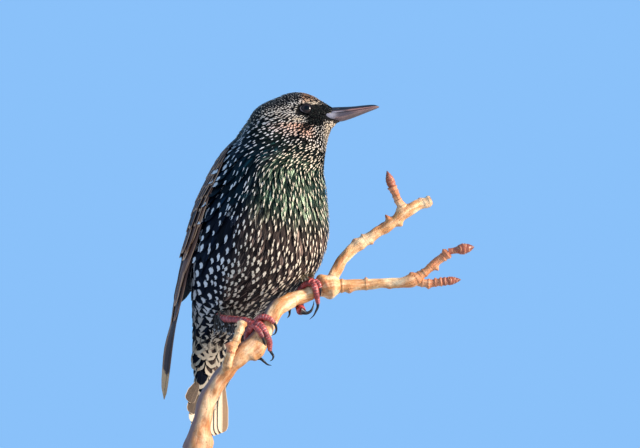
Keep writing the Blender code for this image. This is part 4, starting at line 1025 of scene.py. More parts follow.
# Spacing of rows and of feathers in a row, in mm, at spine places: large ones, then small ones.
ROW_T = (-0.4, 1.0, 2.0, 3.0, 4.0, 5.0, 6.0, 7.0, 8.0, 9.0, 10.0, 11.0, 12.0, 13.0, 14.0)
LARGE = (
    (3.6, 3.6, 3.7, 4.4, 5.0, 5.0, 4.8, 4.4, 3.6, 2.6, 1.6, 1.15, 1.0, 0.95, 0.9),
    (6.4, 6.2, 5.8, 5.6, 5.5, 5.3, 4.9, 4.5, 3.6, 2.5, 1.55, 1.1, 1.0, 0.95, 0.9),
)
SMALL = (
    (3.6, 3.6, 3.6, 3.9, 3.9, 3.6, 3.2, 2.9, 2.5, 1.9, 1.4, 1.15, 1.0, 0.95, 0.9),
    (6.2, 6.0, 5.2, 4.6, 4.2, 3.8, 3.3, 2.9, 2.4, 1.8, 1.4, 1.1, 1.0, 0.95, 0.9),
)
ROUND_STEPS = 721  # angles at which a row's girth is measured


def rows(gaps, seed):
    """Spine place and angle of every feather's root, with its row and side spacing.

    Each row's angles are where the girth, measured in side spacings from the breast's middle,
    reaches whole numbers, or halves in every other row. Where rows crowd, side spacing widens.
    """
    draw = np.random.default_rng(seed)
    turns = np.linspace(-0.5 * np.pi, 1.5 * np.pi, ROUND_STEPS)
    found = []
    t, number = 13.95, 0
    while t > -0.45:
        gap, beside = np.interp(t, ROW_T, gaps[0]), np.interp(t, ROW_T, gaps[1])
        pace = read(PACE, np.full(ROUND_STEPS, t), turns)
        girth = read(GIRTH, np.full(ROUND_STEPS, t), turns)
        step = gap / np.median(pace)
        apart = beside * gap / np.clip(pace * step, 0.45 * gap, 2.2 * gap)
        crowd = girth / apart
        count = np.concatenate([[0.0], np.cumsum(0.5 * (crowd[1:] + crowd[:-1]) * np.diff(turns))])
        total = max(int(round(count[-1])), 6)
        places = (np.arange(total) + 0.5 * (number % 2)) * count[-1] / total
        turn = np.interp(places, count, turns)
        jog = draw.normal(0.0, 1.0, (2, total))
        local = np.interp(turn, turns, pace)
        jogged_t = t + 0.17 * gap / local * jog[0]
        jogged_turn = turn + 0.15 * beside / np.interp(turn, turns, girth) * jog[1]
        row_gap = np.clip(local * step, 0.8 * gap, 2.1 * gap)
        found.append(np.stack([jogged_t, jogged_turn, row_gap, np.interp(turn, turns, apart)], -1))
        t -= step
        number += 1
    return np.concatenate(found)


def among_large(found):
    """Whether a root lies on flank or back, beyond a wavy edge round the breast and below the head."""
    t, turn = found[:, 0], found[:, 1]
    return (from_breast(turn) > 62.0 + 8.0 * np.sin(3.0 * t)) & (t < 9.9)


large, small = rows(LARGE, 11), rows(SMALL, 12)
roots = np.concatenate([large[among_large(large)], small[~among_large(small)]])
root_t, root_turn, root_gap, root_side = roots.T
root_point = read(BODY, root_t, root_turn)


def clear_roots():
    """Which roots to keep: none inside the bill, in the gape or in the eye's opening."""
    f, s, u = in_head(root_point)
    bill = (f > 16.5) & ((s / 3.6) ** 2 + ((u + 1.3) / 3.5) ** 2 < 1.0)
    bill |= (f > 15.8) & (np.abs(u + 2.6 + 0.12 * (f - 16.0)) < 0.25 + 0.30 * (f - 15.8))
    keep = ~bill
    for side in (-1.0, 1.0):
        axis, middle = eye_axis(side)
        away = root_point - middle
        flat = np.linalg.norm(away - (away @ axis)[:, None] * axis, axis=-1)
        keep &= ~((flat < EYE_OPEN + 0.55) & (away @ axis > 0.0))
    return keep


keep = clear_roots()
root_t, root_turn, root_gap, root_side, root_point = (
    part[keep] for part in (root_t, root_turn, root_gap, root_side, root_point)
)


def lie(t, turn, length, stations, sweep=0.0):
    """Centre lines over the body from each root, back along the lie: points, outward normals, places."""
    step = length / (stations - 1.0)
    points, outs, at = [], [], []
    for _ in range(stations):
        points.append(read(BODY, t, turn))
        outs.append(unit(read(OUT_BODY, t, turn)))
        at.append(np.stack([t, turn], -1))
        pace = read(PACE, t, turn)
        turn = turn + sweep * step / read(GIRTH, t, turn)
        t = t - step / pace
    points, outs = np.stack(points, 1), np.stack(outs, 1)
    for side in (-1.0, 1.0):
        axis, middle = eye_axis(side)
        away = points - middle
        flat = away - (away @ axis)[..., None] * axis
        far = np.linalg.norm(flat, axis=-1)
        push = np.where((away @ axis) > 0.0, np.clip(EYE_OPEN + 0.45 - far, 0.0, None), 0.0)
        points = points + push[..., None] * unit(flat)
    return points, outs, np.stack(at, 1)


size_draws = np.random.default_rng(23)
feathers = len(root_t)
breast = ramp(root_t, 4.6, 6.6) * ramp(root_t, 10.4, 9.4)
side_of_body = from_breast(root_turn)
hackle = breast * ramp(side_of_body, 95.0, 62.0)
length = root_gap * (2.35 + 0.75 * hackle + 0.35 * ramp(root_t, 9.6, 10.6))
length = length * size_draws.uniform(0.90, 1.12, feathers)
width = root_side * (1.24 - 0.26 * hackle) * size_draws.uniform(0.90, 1.08, feathers)
ground, strand, mark, cut = stain(root_point, root_t, root_turn)


def stained_skin():
    """The skin's points, and each feather's pale tip stained on it where the feather ends."""
    points = BODY - coat_depth(GRID_T)[:, None, None] * OUT_BODY
    points = sunk_sockets(points, OUT_BODY)
    t, turn = np.broadcast_arrays(GRID_T[:, None], GRID_TURN[None, :])
    under, _, pale, _ = stain(BODY, t, turn)
    _, _, at = lie(root_t, root_turn, length * 0.86, 4)
    end = at[:, -1]
    spot = np.zeros(BODY.shape[:2])
    i = np.round((end[:, 0] - LOW_END) / (TOP_END - LOW_END) * (ROWS - 1)).astype(int)
    j = np.round(end[:, 1] / (2.0 * np.pi) * SIDES).astype(int)
    for di in range(-6, 7):
        for dj in range(-3, 4):
            row, col = np.clip(i + di, 0, ROWS - 1), (j + dj) % SIDES
            away = BODY[row, col] - read(BODY, end[:, 0], end[:, 1])
            down = unit(ALONG_BODY[row, col])
            run = (away * down).sum(-1)
            across = np.linalg.norm(away - run[:, None] * down, axis=-1)
            wide = np.maximum(width * cut[:, 0] * 0.42, 0.2)
            tall = np.maximum(length * cut[:, 1] * 0.45, 0.25)
            near = np.clip(1.5 - (across / wide) ** 2 - (run / tall) ** 2, 0.0, 1.0) * (cut[:, 0] > 0.05)
            np.maximum.at(spot, (row, col), near)
    colour = under * (1.0 - spot[..., None]) + pale * spot[..., None]
    return points, colour


def plumage_skin(w):
    """Down and feather bases over the skin: the kept stain, softened by fine barbs."""
    at = w.place_in()
    fuzz = w.noise(at, 2600.0, 3.0)
    return {
        "Base Color": (fuzz * 0.35).tint(w.mark("stain"), (0.004, 0.004, 0.005)),
        "Roughness": 0.55 + fuzz * 0.25,
        "Normal": fuzz.relief(0.25),
    }


skin_points, skin_colour = stained_skin()
points, faces, corner = shell(skin_points)
poles = np.stack([skin_colour[0].mean(0), skin_colour[-1].mean(0)])
skin = piece(
    "skin",
    points,
    faces,
    look_of("feathered skin", plumage_skin, Specular_IOR_Level=0.05),
    {"lie": corner},
    {"stain": np.concatenate([skin_colour.reshape(-1, 3), poles])},
    180.0,
)
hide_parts("vent", "torso", "neck", "head")


# ---------------------------------------------------------------- eyes
# Dark brown eyes of glass, each with a black pupil, set in the orbits. A thin ring of bare grey
# lid closes round each one.


def eye_glass(w):
    """Black pupil, dark brown iris with fine spokes, and a black rim under clear glass."""
    out, turn = w.map_named("eye")
    sine = (turn * FULL_TURN).sine() * 3.0
    cosine = (turn * FULL_TURN + 1.57).sine() * 3.0
    spokes = w.noise(w.joined(sine, out * 4.0, cosine), 6.0)
    iris = spokes.tint((0.007, 0.0035, 0.003), (0.024, 0.011, 0.009))
    eye = out.ramp(0.118, 0.130).tint((0.001, 0.001, 0.0012), iris)
    eye = out.ramp(0.215, 0.24).tint(eye, (0.004, 0.003, 0.003))
    return {"Base Color": eye, "Roughness": 0.16 + out.ramp(0.1, 0.3) * 0.1}


def lid_skin(w):
    """Bare lid with fine creases: black in front, pale grey at the back corner."""
    crease = w.noise(w.place_in(), 2400.0, 3.0)
    dark = crease.tint((0.004, 0.0035, 0.0035), (0.018, 0.014, 0.014))
    return {
        "Base Color": w.mark("rear", 2).tint(dark, crease.tint((0.050, 0.040, 0.048), (0.15, 0.125, 0.135))),
        "Roughness": 0.55 + crease * 0.2,
        "Normal": crease.relief(0.12),
    }


eye_look = look_of("glass eye", eye_glass, Coat_Weight=0.05, Coat_Roughness=0.15, Specular_IOR_Level=0.2)
lid_look = look_of("bare lid", lid_skin, Specular_IOR_Level=0.15)
EYE_SIDES, LID_STATIONS, LID_SIDES = 40, 72, 10
for name, side in (("left", 1.0), ("right", -1.0)):
    axis, middle = eye_axis(side)
    ahead = unit(np.cross(UP, axis))
    above = np.cross(axis, ahead)
    # Rings run from the back of the ball to its front, so that its faces point out.
    polar = np.linspace(0.0, np.pi, 34)[-2:0:-1]
    turn = even_turns(EYE_SIDES)
    flat = np.cos(turn)[None, :, None] * ahead + np.sin(turn)[None, :, None] * above
    rings = middle + EYE_RADIUS * (np.sin(polar)[:, None, None] * flat + np.cos(polar)[:, None, None] * axis)
    points, faces, corner = shell(rings, middle - EYE_RADIUS * axis, middle + EYE_RADIUS * axis)
    out = np.interp(corner[:, 0], (0.0, 1.0), (polar[0], polar[-1])) / np.pi
    # The last triangles fan out from the back pole and then the front one, each its own first corner.
    fan = 3 * EYE_SIDES
    out[-2 * fan : -fan : 3] = 1.0
    out[-fan::3] = 0.0
    maps = {"eye": np.stack([out, corner[:, 1]], -1)}
    eye_piece = piece(name + "_eye", points, faces, eye_look, maps)
    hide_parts("eye_" + name)
    # The lid's ring: an oval a little longer than high, pinched towards both corners of the eye.
    turn = even_turns(LID_STATIONS)
    open_f = (EYE_OPEN + 0.28) * (1.0 + 0.16 * np.abs(np.cos(turn)) ** 6)
    open_u = EYE_OPEN * (1.0 - 0.07 * (np.sin(turn) > 0.0) * np.sin(turn))
    reach = np.sqrt(np.clip(EYE_RADIUS**2 - (EYE_OPEN - 0.1) ** 2, 0.0, None))
    rim = middle + (reach + 0.05) * axis + (open_f * np.cos(turn))[:, None] * ahead
    rim = rim + (open_u * np.sin(turn))[:, None] * above
    rim = rim - (0.5 * np.abs(np.cos(turn)) ** 4)[:, None] * axis
    around = unit(np.roll(rim, -1, 0) - np.roll(rim, 1, 0))
    away = unit(np.cross(around, axis))
    angle = even_turns(LID_SIDES)[None, :, None]
    thick = 0.26 + 0.03 * np.sin(9.0 * turn)
    out = np.cos(angle) * away[:, None] + np.sin(angle) * np.cross(around, away)[:, None]
    loop = rim[:, None] + thick[:, None, None] * out
    # The last ring joins the first again.
    quads = ring_quads(LID_STATIONS + 1, LID_SIDES)[2] % (LID_STATIONS * LID_SIDES)
    # Seen from outside, the back of the eye lies opposite to the bill on either side.
    pale = ramp(np.cos(turn) * np.sign(ahead @ FORWARD), -0.55, -0.95) * ramp(np.sin(turn), 0.6, 0.0)
    marks = {"rear": np.repeat(pale, LID_SIDES)[:, None] * np.ones(3)}
    points, faces = loop.reshape(-1, 3), [quads.reshape(-1, 4)]
    piece(name + "_lid", points, faces, lid_look, marks=marks, crease=180.0)


# ---------------------------------------------------------------- bill
# Two horn sheaths, parted by the line of the mouth. The upper one is pierced by a nostril on each
# side. Winter horn is dark along the ridge, brown along the sides and grey at the root.

# Bill sections: forward, top, mouth line, underside, half width.
BILL = np.array(
    [
        (13.5, 1.2, -2.4, -4.4, 4.0),
        (18.0, 1.9, -1.9, -4.8, 3.9),
        (22.0, 2.3, -1.4, -4.9, 3.6),
        (26.0, 2.45, -0.8, -4.6, 3.1),
        (31.0, 2.7, 0.1, -3.0, 2.5),
        (36.5, 3.3, 1.1, -0.8, 2.0),
        (41.5, 3.6, 2.1, 1.2, 1.5),
        (44.2, 3.2, 2.6, 2.2, 0.8),
    ]
)
BILL_ROOT, BILL_TAPER, BILL_TIP = 13.5, 42.0, 44.35  # how far forward it starts, rounds off and ends


def sheath(upper):
    """One half of the bill: a half oval over (or under) the mouth line, closed by a shallow hollow."""
    rounding = BILL_TAPER + 2.2 * np.sin(np.linspace(0.08, 1.0, 12) * np.pi / 2.0)
    f = np.concatenate([np.linspace(BILL_ROOT, BILL_TAPER, 52), rounding])
    top, mouth, under, half = (through(f, BILL[:, 0], BILL[:, i]) for i in range(1, 5))
    turn = np.linspace(0.0, np.pi, 25)
    height = (top - mouth if upper else mouth - under)[:, None]
    tip = np.sqrt(np.clip(1.0 - ((f - BILL_TAPER) / 2.25).clip(0.0, None) ** 2, 0.0, 1.0))[:, None]
    half = half + (0.0 if upper else 1.15) * ramp(f, 24.5, 18.0)
    gape = 0.06
    # The outer face, then the hollow that closes it.
    hollow_turn = np.linspace(np.pi, 0.0, 9)[1:-1]
    outer = gape + height * np.sin(turn) ** 0.8 * tip
    hollow = gape + 0.12 * height * np.sin(hollow_turn)
    turn = np.concatenate([turn, hollow_turn])
    s = half[:, None] * np.cos(turn) * (0.25 + 0.75 * tip) * (1.0 if upper else 0.94)
    u = mouth[:, None] + (1.0 if upper else -1.0) * np.concatenate([outer, hollow], 1)
    grid_f = np.repeat(f[:, None], s.shape[1], 1)
    if upper:
        for side in (-1.0, 1.0):
            # The nostril: a slit under a horny lip, behind a shallow groove.
            away = np.exp(-(((grid_f - 25.0) / 1.7) ** 2 + ((u - 1.0) / 0.62) ** 2)) * (side * s > 0.4)
            groove = np.exp(-(((grid_f - 22.5) / 4.5) ** 2 + ((u - 0.9) / 1.0) ** 2)) * (side * s > 0.4)
            s = s - side * (0.9 * away + 0.25 * groove)
    rings = head_point(grid_f, s, u)
    if not upper:
        rings = rings[:, ::-1]
    end = head_point(np.array(BILL_TIP), np.array(0.0), np.array(mouth[-1] + (0.5 if upper else -0.15)))
    points, faces, _ = shell(rings, last=end)
    forward, _, rise = in_head(points)
    rise = rise - np.interp(forward, BILL[:, 0], BILL[:, 2])
    depth = np.interp(forward, BILL[:, 0], BILL[:, 1] - BILL[:, 3])
    flat = np.stack([(forward - BILL_ROOT) / 30.0, rise / depth + 0.5], -1)
    return points, faces, flat


def bill_horn(w):
    """Horn: black ridge, a rose stripe on brown sides that is partly painted warm reflection, grey-lilac root
    with a smoky smudge below it.
    """
    along, up = w.map_named("bill")
    at = w.place_in()
    grain = w.noise(w.joined(along * 8.0, up * 26.0), 1.0, 4.0)
    cloud = w.noise(at, 420.0, 3.0)
    horn = grain.ramp(0.35, 0.7).tint((0.075, 0.045, 0.045), (0.19, 0.115, 0.105))
    # The rose stripe: partly the horn's own colour, partly painted reflection of warm light.
    rose_and_reflection = (abs(up - 0.50 - cloud * 0.08)).ramp(0.22, 0.06) * along.ramp(0.46, 0.60)
    horn = (rose_and_reflection * 0.8).tint(horn, (0.27, 0.125, 0.105))
    under = up.ramp(0.30, 0.16) * along.ramp(0.42, 0.60)
    horn = (under * 0.5).tint(horn, (0.22, 0.135, 0.115))
    root = (along + abs(up - 0.46) * 0.75 + cloud * 0.22).ramp(0.70, 0.50)
    lilac = cloud.tint((0.09, 0.082, 0.105), (0.31, 0.29, 0.335))
    horn = (root * (up + cloud * 0.06).ramp(0.70, 0.62)).tint(horn, lilac)
    smoke = abs(up - 0.30 - cloud * 0.12).ramp(0.20, 0.08) * along.ramp(0.22, 0.36) * along.ramp(0.72, 0.50)
    horn = (smoke * 0.92).tint(horn, (0.045, 0.034, 0.045))
    lower = up.ramp(0.26, 0.10) * along.ramp(0.36, 0.56)
    horn = (lower * 0.7).tint(horn, (0.06, 0.042, 0.042))
    mouth = abs(up - 0.5).ramp(0.08, 0.02) * along.ramp(0.20, 0.40)
    horn = (mouth * 0.85).tint(horn, (0.035, 0.024, 0.026))
    ridge = (up + cloud * 0.10 - along * 0.05).ramp(0.64, 0.74)
    horn = ridge.tint(horn, (0.010, 0.009, 0.013))
    base = along.ramp(0.30, 0.18)
    horn = (base * up.ramp(0.50, 0.60)).tint(horn, (0.022, 0.018, 0.022))
    return {
        "Base Color": horn,
        "Roughness": 0.34 + grain * 0.16,
        "Normal": (grain + cloud * 0.5).relief(0.08),
    }


bill_look = look_of("bill horn", bill_horn, Coat_Weight=0.1, Coat_Roughness=0.25, Specular_IOR_Level=0.3)
for name, upper in (("bill_upper", True), ("bill_lower", False)):
    points, faces, flat = sheath(upper)
    made = piece(name + "_horn", points, faces, bill_look, {"bill": flat}, crease=60.0)
    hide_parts(name)


# ---------------------------------------------------------------- legs and feet
# Bare red-brown shanks and toes, shod in overlapping plates down the front and fine scales
# behind, with a soft pad under each joint. Three toes reach forward and one back round the limb.

# Stations of each toe and claw: mm along the limb, degrees from its top over its front, clearance
# over the bark, radius.
TOES = {
    "right_inner": (
        (67.2, -3, 0.3, 1.5), (70.7, 12, 0.3, 1.4), (71.8, 40, 0.3, 1.35), (72.0, 69, 0.3, 1.25),
        (71.4, 98, 0.4, 1.05),
    ),
    "right_middle": (
        (66.9, 1, 0.3, 1.5), (67.5, 36, 0.4, 1.45), (66.5, 65, 0.4, 1.4), (64.8, 95, 0.3, 1.3),
        (63.6, 134, 0.5, 1.2), (61.4, 171, 2.2, 1.05),
    ),
    "right_outer": (
        (65.8, 10, 0.4, 1.5), (64.8, 39, 0.4, 1.35), (63.8, 66, 0.3, 1.25), (62.7, 92, 0.3, 1.05),
    ),
    "right_hind": (
        (66.0, 4, 0.4, 1.6), (63.1, -10, 0.3, 1.6), (60.0, -49, 0.5, 1.55), (57.3, -83, 0.5, 1.45),
        (56.4, -124, 0.4, 1.35), (56.3, -172, 0.6, 1.2),
    ),
    "left_inner": (
        (101.0, 24, 0.3, 1.5), (99.6, -2, 0.3, 1.4), (97.4, -45, 0.4, 1.35), (93.7, -82, 0.3, 1.25),
        (89.6, -128, 0.4, 1.05),
    ),
    "left_middle": (
        (101.6, 34, 0.3, 1.5), (101.2, 63, 0.4, 1.45), (100.7, 96, 0.3, 1.35),
        (100.5, 135, 0.4, 1.25), (101.0, 172, 1.6, 1.05),
    ),
    "left_outer": (
        (101.8, 35, 0.5, 1.5), (103.2, 39, 0.8, 1.35), (103.6, 61, 0.9, 1.25),
        (103.4, 84, 0.8, 1.05),
    ),
    "left_hind": (
        (101.8, 20, 0.4, 1.6), (100.8, -40, 0.4, 1.6), (96.9, -88, 0.4, 1.7),
        (94.3, -126, 0.4, 2.0), (92.4, -176, 0.9, 2.3),
    ),
}
CLAWS = {
    "right_inner": (
        (70.6, 117, 0.6, 0.8), (69.5, 134, 0.9, 0.65), (68.1, 146, 1.0, 0.45),
        (66.4, 138, 0.6, 0.1),
    ),
    "right_middle": (
        (61.0, 172, 3.9, 0.8), (60.4, 172, 5.8, 0.65), (59.4, 175, 6.6, 0.42),
        (58.5, 178, 6.6, 0.1),
    ),
    "right_outer": (
        (61.9, 109, 0.4, 0.75), (61.3, 128, 0.5, 0.6), (60.7, 148, 0.6, 0.4), (59.8, 166, 0.5, 0.1),
    ),
    "right_hind": (
        (56.8, -181, 2.4, 0.85), (57.0, -181, 4.5, 0.7), (57.3, -181, 6.8, 0.45),
        (58.0, -182, 8.6, 0.1),
    ),
    "left_inner": (
        (87.6, -152, 0.8, 0.8), (85.6, -168, 1.4, 0.62), (83.2, -182, 2.1, 0.4),
        (80.0, -192, 2.6, 0.1),
    ),
    "left_middle": (
        (100.3, 178, 3.7, 0.8), (98.7, 178, 5.3, 0.65), (96.7, 177, 7.0, 0.42),
        (94.3, 177, 8.3, 0.1),
    ),
    "left_outer": (
        (103.0, 103, 0.8, 0.75), (102.6, 122, 0.8, 0.6), (101.8, 148, 0.7, 0.4),
        (101.0, 170, 0.9, 0.1),
    ),
    "left_hind": (
        (94.4, -183, 4.1, 1.0), (96.2, -183, 4.1, 0.8), (98.2, -183, 2.8, 0.5),
        (99.8, -183, 0.9, 0.1),
    ),
}
HUBS = {"right": (66.4, 4, 0.3, 1.95), "left": (101.6, 28, 0.3, 1.95)}
# Stations of each shank from the coat down to the foot: (x, y, z, radius).
LEGS = {
    "right": np.array(
        [
            (-17.2, 5.2, -39.2, 2.0),
            (-18.0, 0.6, -40.6, 1.7),
            (-18.4, -5.5, -41.4, 1.55),
            (-17.6, -12.6, -42.4, 1.55),
            (-16.8, -18.3, -43.8, 1.8),
        ]
    ),
    "left": np.array([(14.5, -15.5, -14.5, 2.4), (14.8, -21.4, -18.4, 2.0), (13.9, -26.7, -22.0, 1.8)]),
}
LIMB_REACH = np.concatenate([[0.0], np.cumsum(np.linalg.norm(np.diff(LIMB[:, :3], axis=0), axis=1))])


def limb_at(along):
    """The limb's axis and radius at places along it."""
    return np.stack([through(along, LIMB_REACH, LIMB[:, i]) for i in range(4)], -1)


def on_limb(stations):
    """Balls (x, y, z, radius) from stations of a toe: along the limb, round it, clear of it, radius."""
    along, turn, clear, radius = np.array(stations, dtype=float).T
    inside = np.minimum(along, LIMB_REACH[-1] - 0.6)
    here, there = limb_at(inside - 0.5), limb_at(inside + 0.5)
    direction = unit(there[:, :3] - here[:, :3])
    middle = 0.5 * (here + there)
    top = unit(UP - (direction @ UP)[:, None] * direction)
    front = np.cross(direction, top)
    turn = np.radians(turn)[:, None]
    away = np.cos(turn) * top + np.sin(turn) * front
    centre = middle[:, :3] + (along - inside)[:, None] * direction
    centre = centre + (middle[:, 3] + clear + radius)[:, None] * away
    return np.concatenate([centre, radius[:, None]], -1)


def scaled(path, count, sides, out, plate):
    """A scaly tube: plates step up every few tenths along its outer side, and its joints swell.

    out is the direction of the plates' side, one or one for each station; plate is their length in mm.
    """
    line, at = drawn_out(path, count)
    rings = rings_round(line, sides)
    away = unit(rings - line[:, None, :3])
    facing = (away * np.broadcast_to(out, (count, 3))[:, None]).sum(-1)
    saw = (at / plate) % 1.0
    step = 0.035 * plate * (1.0 - saw)[:, None] * ramp(facing, 0.0, 0.5)
    rough = 0.05 * np.sin(at / 0.34)[:, None] * ramp(facing, 0.1, -0.4)
    rings = rings + (step + rough)[..., None] * away
    points, faces, corner = shell(rings)
    flat = np.stack([corner[:, 0] * at[-1] / plate, corner[:, 1]], -1)
    kept = np.concatenate([facing.ravel(), facing[[0, -1]].mean(1)])
    return points, faces, flat, kept


def leg_skin(w):
    """Red-brown plates with paler edges, partly their own colour and partly painted glints, and a net of fine
    scales between them.
    """
    along, _ = w.map_named("plates")
    at = w.place_in()
    facing = w.mark("facing", 2)
    place_in_plate = along.calculated("FRACT", along)
    joint = place_in_plate.ramp(0.20, 0.04).or_more(place_in_plate.ramp(0.86, 0.98))
    net = w.cells(at, 1500.0).ramp(0.35, 0.75)
    cloud = w.noise(at, 420.0, 3.0)
    red = cloud.ramp(0.35, 0.65).tint((0.21, 0.016, 0.014), (0.60, 0.080, 0.064))
    # Paler plate edges: partly the scales' own paler rims, partly painted glints.
    wear_and_glint = cloud.ramp(0.45, 0.62)
    edge = place_in_plate.ramp(0.62, 0.80) * place_in_plate.ramp(0.98, 0.90)
    pale = (edge * facing.ramp(0.35, 0.7) * (0.12 + wear_and_glint * 0.5)).tint(red, (0.86, 0.50, 0.44))
    groove = (joint * facing.ramp(0.35, 0.7) * 0.65 + net * 0.14).or_less(1.0)
    skin = groove.tint(pale, (0.035, 0.004, 0.005))
    height = joint * facing.ramp(0.4, 0.7) * -0.5 - net * 0.5
    return {"Base Color": skin, "Roughness": 0.32 + cloud * 0.2, "Normal": height.relief(0.18)}


def claw_horn(w):
    """Black horn, streaked along its length and browner at its root."""
    along, turn = w.map_named("claw")
    streak = w.noise(w.joined(along * 2.0, (turn * FULL_TURN).sine() * 3.0), 3.0, 3.0)
    horn = streak.tint((0.004, 0.004, 0.006), (0.022, 0.019, 0.020))
    horn = along.ramp(0.0, 0.18).tint((0.06, 0.035, 0.03), horn)
    return {"Base Color": horn, "Roughness": 0.22 + streak * 0.15}


leg_look = look_of("scaly leg skin", leg_skin, Coat_Weight=0.2, Coat_Roughness=0.3)
claw_look = look_of("claw horn", claw_horn, Coat_Weight=0.1, Coat_Roughness=0.2, Specular_IOR_Level=0.2)
TOE_RINGS, CLAW_RINGS = 56, 34

for side in ("right", "left"):
    hub = on_limb([HUBS[side]])[0]
    parts, facings = [], []
    for name in ("inner", "middle", "outer", "hind"):
        stations = TOES[side + "_" + name]
        toe = on_limb(stations)
        line, _ = drawn_out(toe, TOE_RINGS)
        beside = np.interp(np.arange(TOE_RINGS), (0, TOE_RINGS - 1), (stations[0][0], stations[-1][0]))
        out = unit(line[:, :3] - limb_at(beside)[:, :3])
        pads = 1.0 + 0.09 * np.sin(np.linspace(0.0, 3.0 * np.pi, len(toe))) ** 2
        toe[:, 3] *= pads
        points, faces, flat, facing = scaled(toe, TOE_RINGS, 20, out, 1.15)
        parts.append((points, faces, flat))
        facings.append(facing)
        base = toe[-1].copy()
        base[:3] -= unit(toe[-1, :3] - toe[-2, :3]) * 0.25
        base[3] *= 0.84
        nail, _ = drawn_out(np.vstack([base, on_limb(CLAWS[side + "_" + name])]), CLAW_RINGS)
        nail[:, 3] *= np.interp(np.arange(CLAW_RINGS), (0, 8, 33), (1.0, 0.80, 0.80))
        points, faces, corner = shell(rings_round(nail, 16))
        maps = {"claw": corner}
        claw = piece(f"{side}_{name}_claw", points, faces, claw_look, maps, crease=80.0)
        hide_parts(f"claw_{side}_{name}")
    shank = LEGS[side].copy()
    shank = np.vstack([shank, [*(hub[:3] + 0.15 * (hub[:3] - shank[-1, :3])), 1.75]])
    run = unit(shank[-1, :3] - shank[0, :3])
    ahead = unit(UP - (UP @ run) * run) if side == "right" else unit(-UP - (-UP @ run) * run)
    points, faces, flat, facing = scaled(shank, 70, 24, ahead, 2.6)
    parts.append((points, faces, flat))
    facings.append(facing)
    points, faces, flat = several(*parts)
    facing = np.concatenate(facings)[:, None] * 0.5 + 0.5
    maps, marks = {"plates": flat}, {"facing": facing * np.ones(3)}
    made = piece(side + "_foot_skin", points, faces, leg_look, maps, marks, 70.0)
    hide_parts("foot_" + side, "leg_" + side)


# ---------------------------------------------------------------- folded wings
# Each wing is folded against the body: stiff primaries and secondaries below, three broad tertials
# over them and rows of coverts up to the shoulder, all dark brown with buff fringes.

# The right wing's bed: height, leading edge (x, y), trailing edge (x, y), bulge between them.
WING = np.array(
    [
        (-78.0, -15.4, 52.2, -13.9, 54.7, 0.3),
        (-70.0, -18.6, 45.8, -12.9, 54.5, 0.5),
        (-60.0, -21.2, 39.8, -12.5, 52.8, 0.8),
        (-50.0, -23.6, 34.0, -12.1, 51.0, 1.2),
        (-40.0, -25.7, 28.0, -11.4, 48.4, 1.8),
        (-30.0, -28.9, 18.6, -9.8, 44.0, 3.7),
        (-15.0, -32.0, 8.6, -4.8, 36.0, 7.2),
        (0.0, -34.2, -3.0, -4.6, 28.6, 8.2),
        (15.0, -33.4, -8.4, -7.6, 23.0, 6.6),
        (27.0, -30.2, -11.9, -11.2, 16.8, 4.7),
        (37.0, -26.3, -11.8, -15.0, 9.7, 2.1),
        (46.0, -20.8, -11.4, -16.0, 0.5, 0.3),
    ]
)
# The soft bed under the coverts: height, outer and inner face, first and last place across.
WING_BED = (
    (43.0, 0.2, -3.0, 0.25, 0.70),
    (39.0, 0.9, -4.5, 0.12, 0.85),
    (31.0, 1.4, -5.0, 0.05, 0.95),
    (20.0, 1.7, -5.0, 0.06, 1.00),
    (8.0, 1.7, -5.0, 0.07, 1.00),
    (-5.0, 1.6, -5.0, 0.08, 0.98),
    (-16.0, 1.3, -3.5, 0.08, 0.94),
    (-27.0, 0.9, -0.9, 0.10, 0.86),
    (-37.0, 0.3, 0.0, 0.14, 0.30),
)
PRIMARY_TIPS = (-77.6, -76.6, -72.5, -67.0, -61.5, -56.5, -52.0, -48.0)
# Coverts: how many, root and tip height, width, first and last place across, kind.
COVERTS = (
    (12, 13.0, -9.0, 7.2, 0.10, 0.94, 3),
    (13, 20.0, 2.5, 6.4, 0.08, 0.96, 4),
    (14, 25.0, 10.5, 5.6, 0.06, 0.97, 4),
    (14, 29.5, 16.5, 5.2, 0.03, 0.98, 5),
    (13, 33.5, 22.0, 4.8, 0.03, 0.97, 5),
    (12, 37.5, 27.0, 4.5, 0.03, 0.96, 5),
    (10, 41.0, 31.5, 4.2, 0.05, 0.94, 5),
    (8, 44.0, 36.0, 3.9, 0.08, 0.90, 5),
    (6, 46.0, 40.0, 3.7, 0.20, 0.80, 5),
)


def wing_point(height, across, lift):
    """Over the wing's bed: across runs from 0 at the leading edge to 1 at the trailing edge.

    The bed bulges by a parabola between its edges, and lift is measured square to it.
    """
    lead_x, lead_y, trail_x, trail_y, bulge = (through(height, WING[:, 0], WING[:, i]) for i in range(1, 6))
    run_x, run_y = trail_x - lead_x, trail_y - lead_y
    chord = np.sqrt(run_x**2 + run_y**2)
    lean = 4.0 * bulge * (1.0 - 2.0 * across) / chord
    away_x, away_y = -run_y / chord, run_x / chord
    size = np.sqrt(1.0 + lean**2)
    out = 4.0 * bulge * across * (1.0 - across)
    x = lead_x + run_x * across + away_x * out + lift * (away_x - lean * run_x / chord) / size
    y = lead_y + run_y * across + away_y * out + lift * (away_y - lean * run_y / chord) / size
    return np.stack([x, y, height + 0.0 * x], -1)


def wing_out(height, across):
    """Outward, square to the wing's bed."""
    up = wing_point(height + 0.5, across, 0.0) - wing_point(height - 0.5, across, 0.0)
    over = wing_point(height, across + 0.02, 0.0) - wing_point(height, across - 0.02, 0.0)
    return unit(np.cross(up, over))


# A vane's section, by its number of sides: (across, rise) of each corner.
VANE_SECTIONS = {
    4: ((-1, 0), (0, 1), (1, 0), (0, -1)),
    6: ((-1, 0), (-0.5, 0.8), (0, 1), (0.5, 0.8), (1, 0), (0, -1)),
}


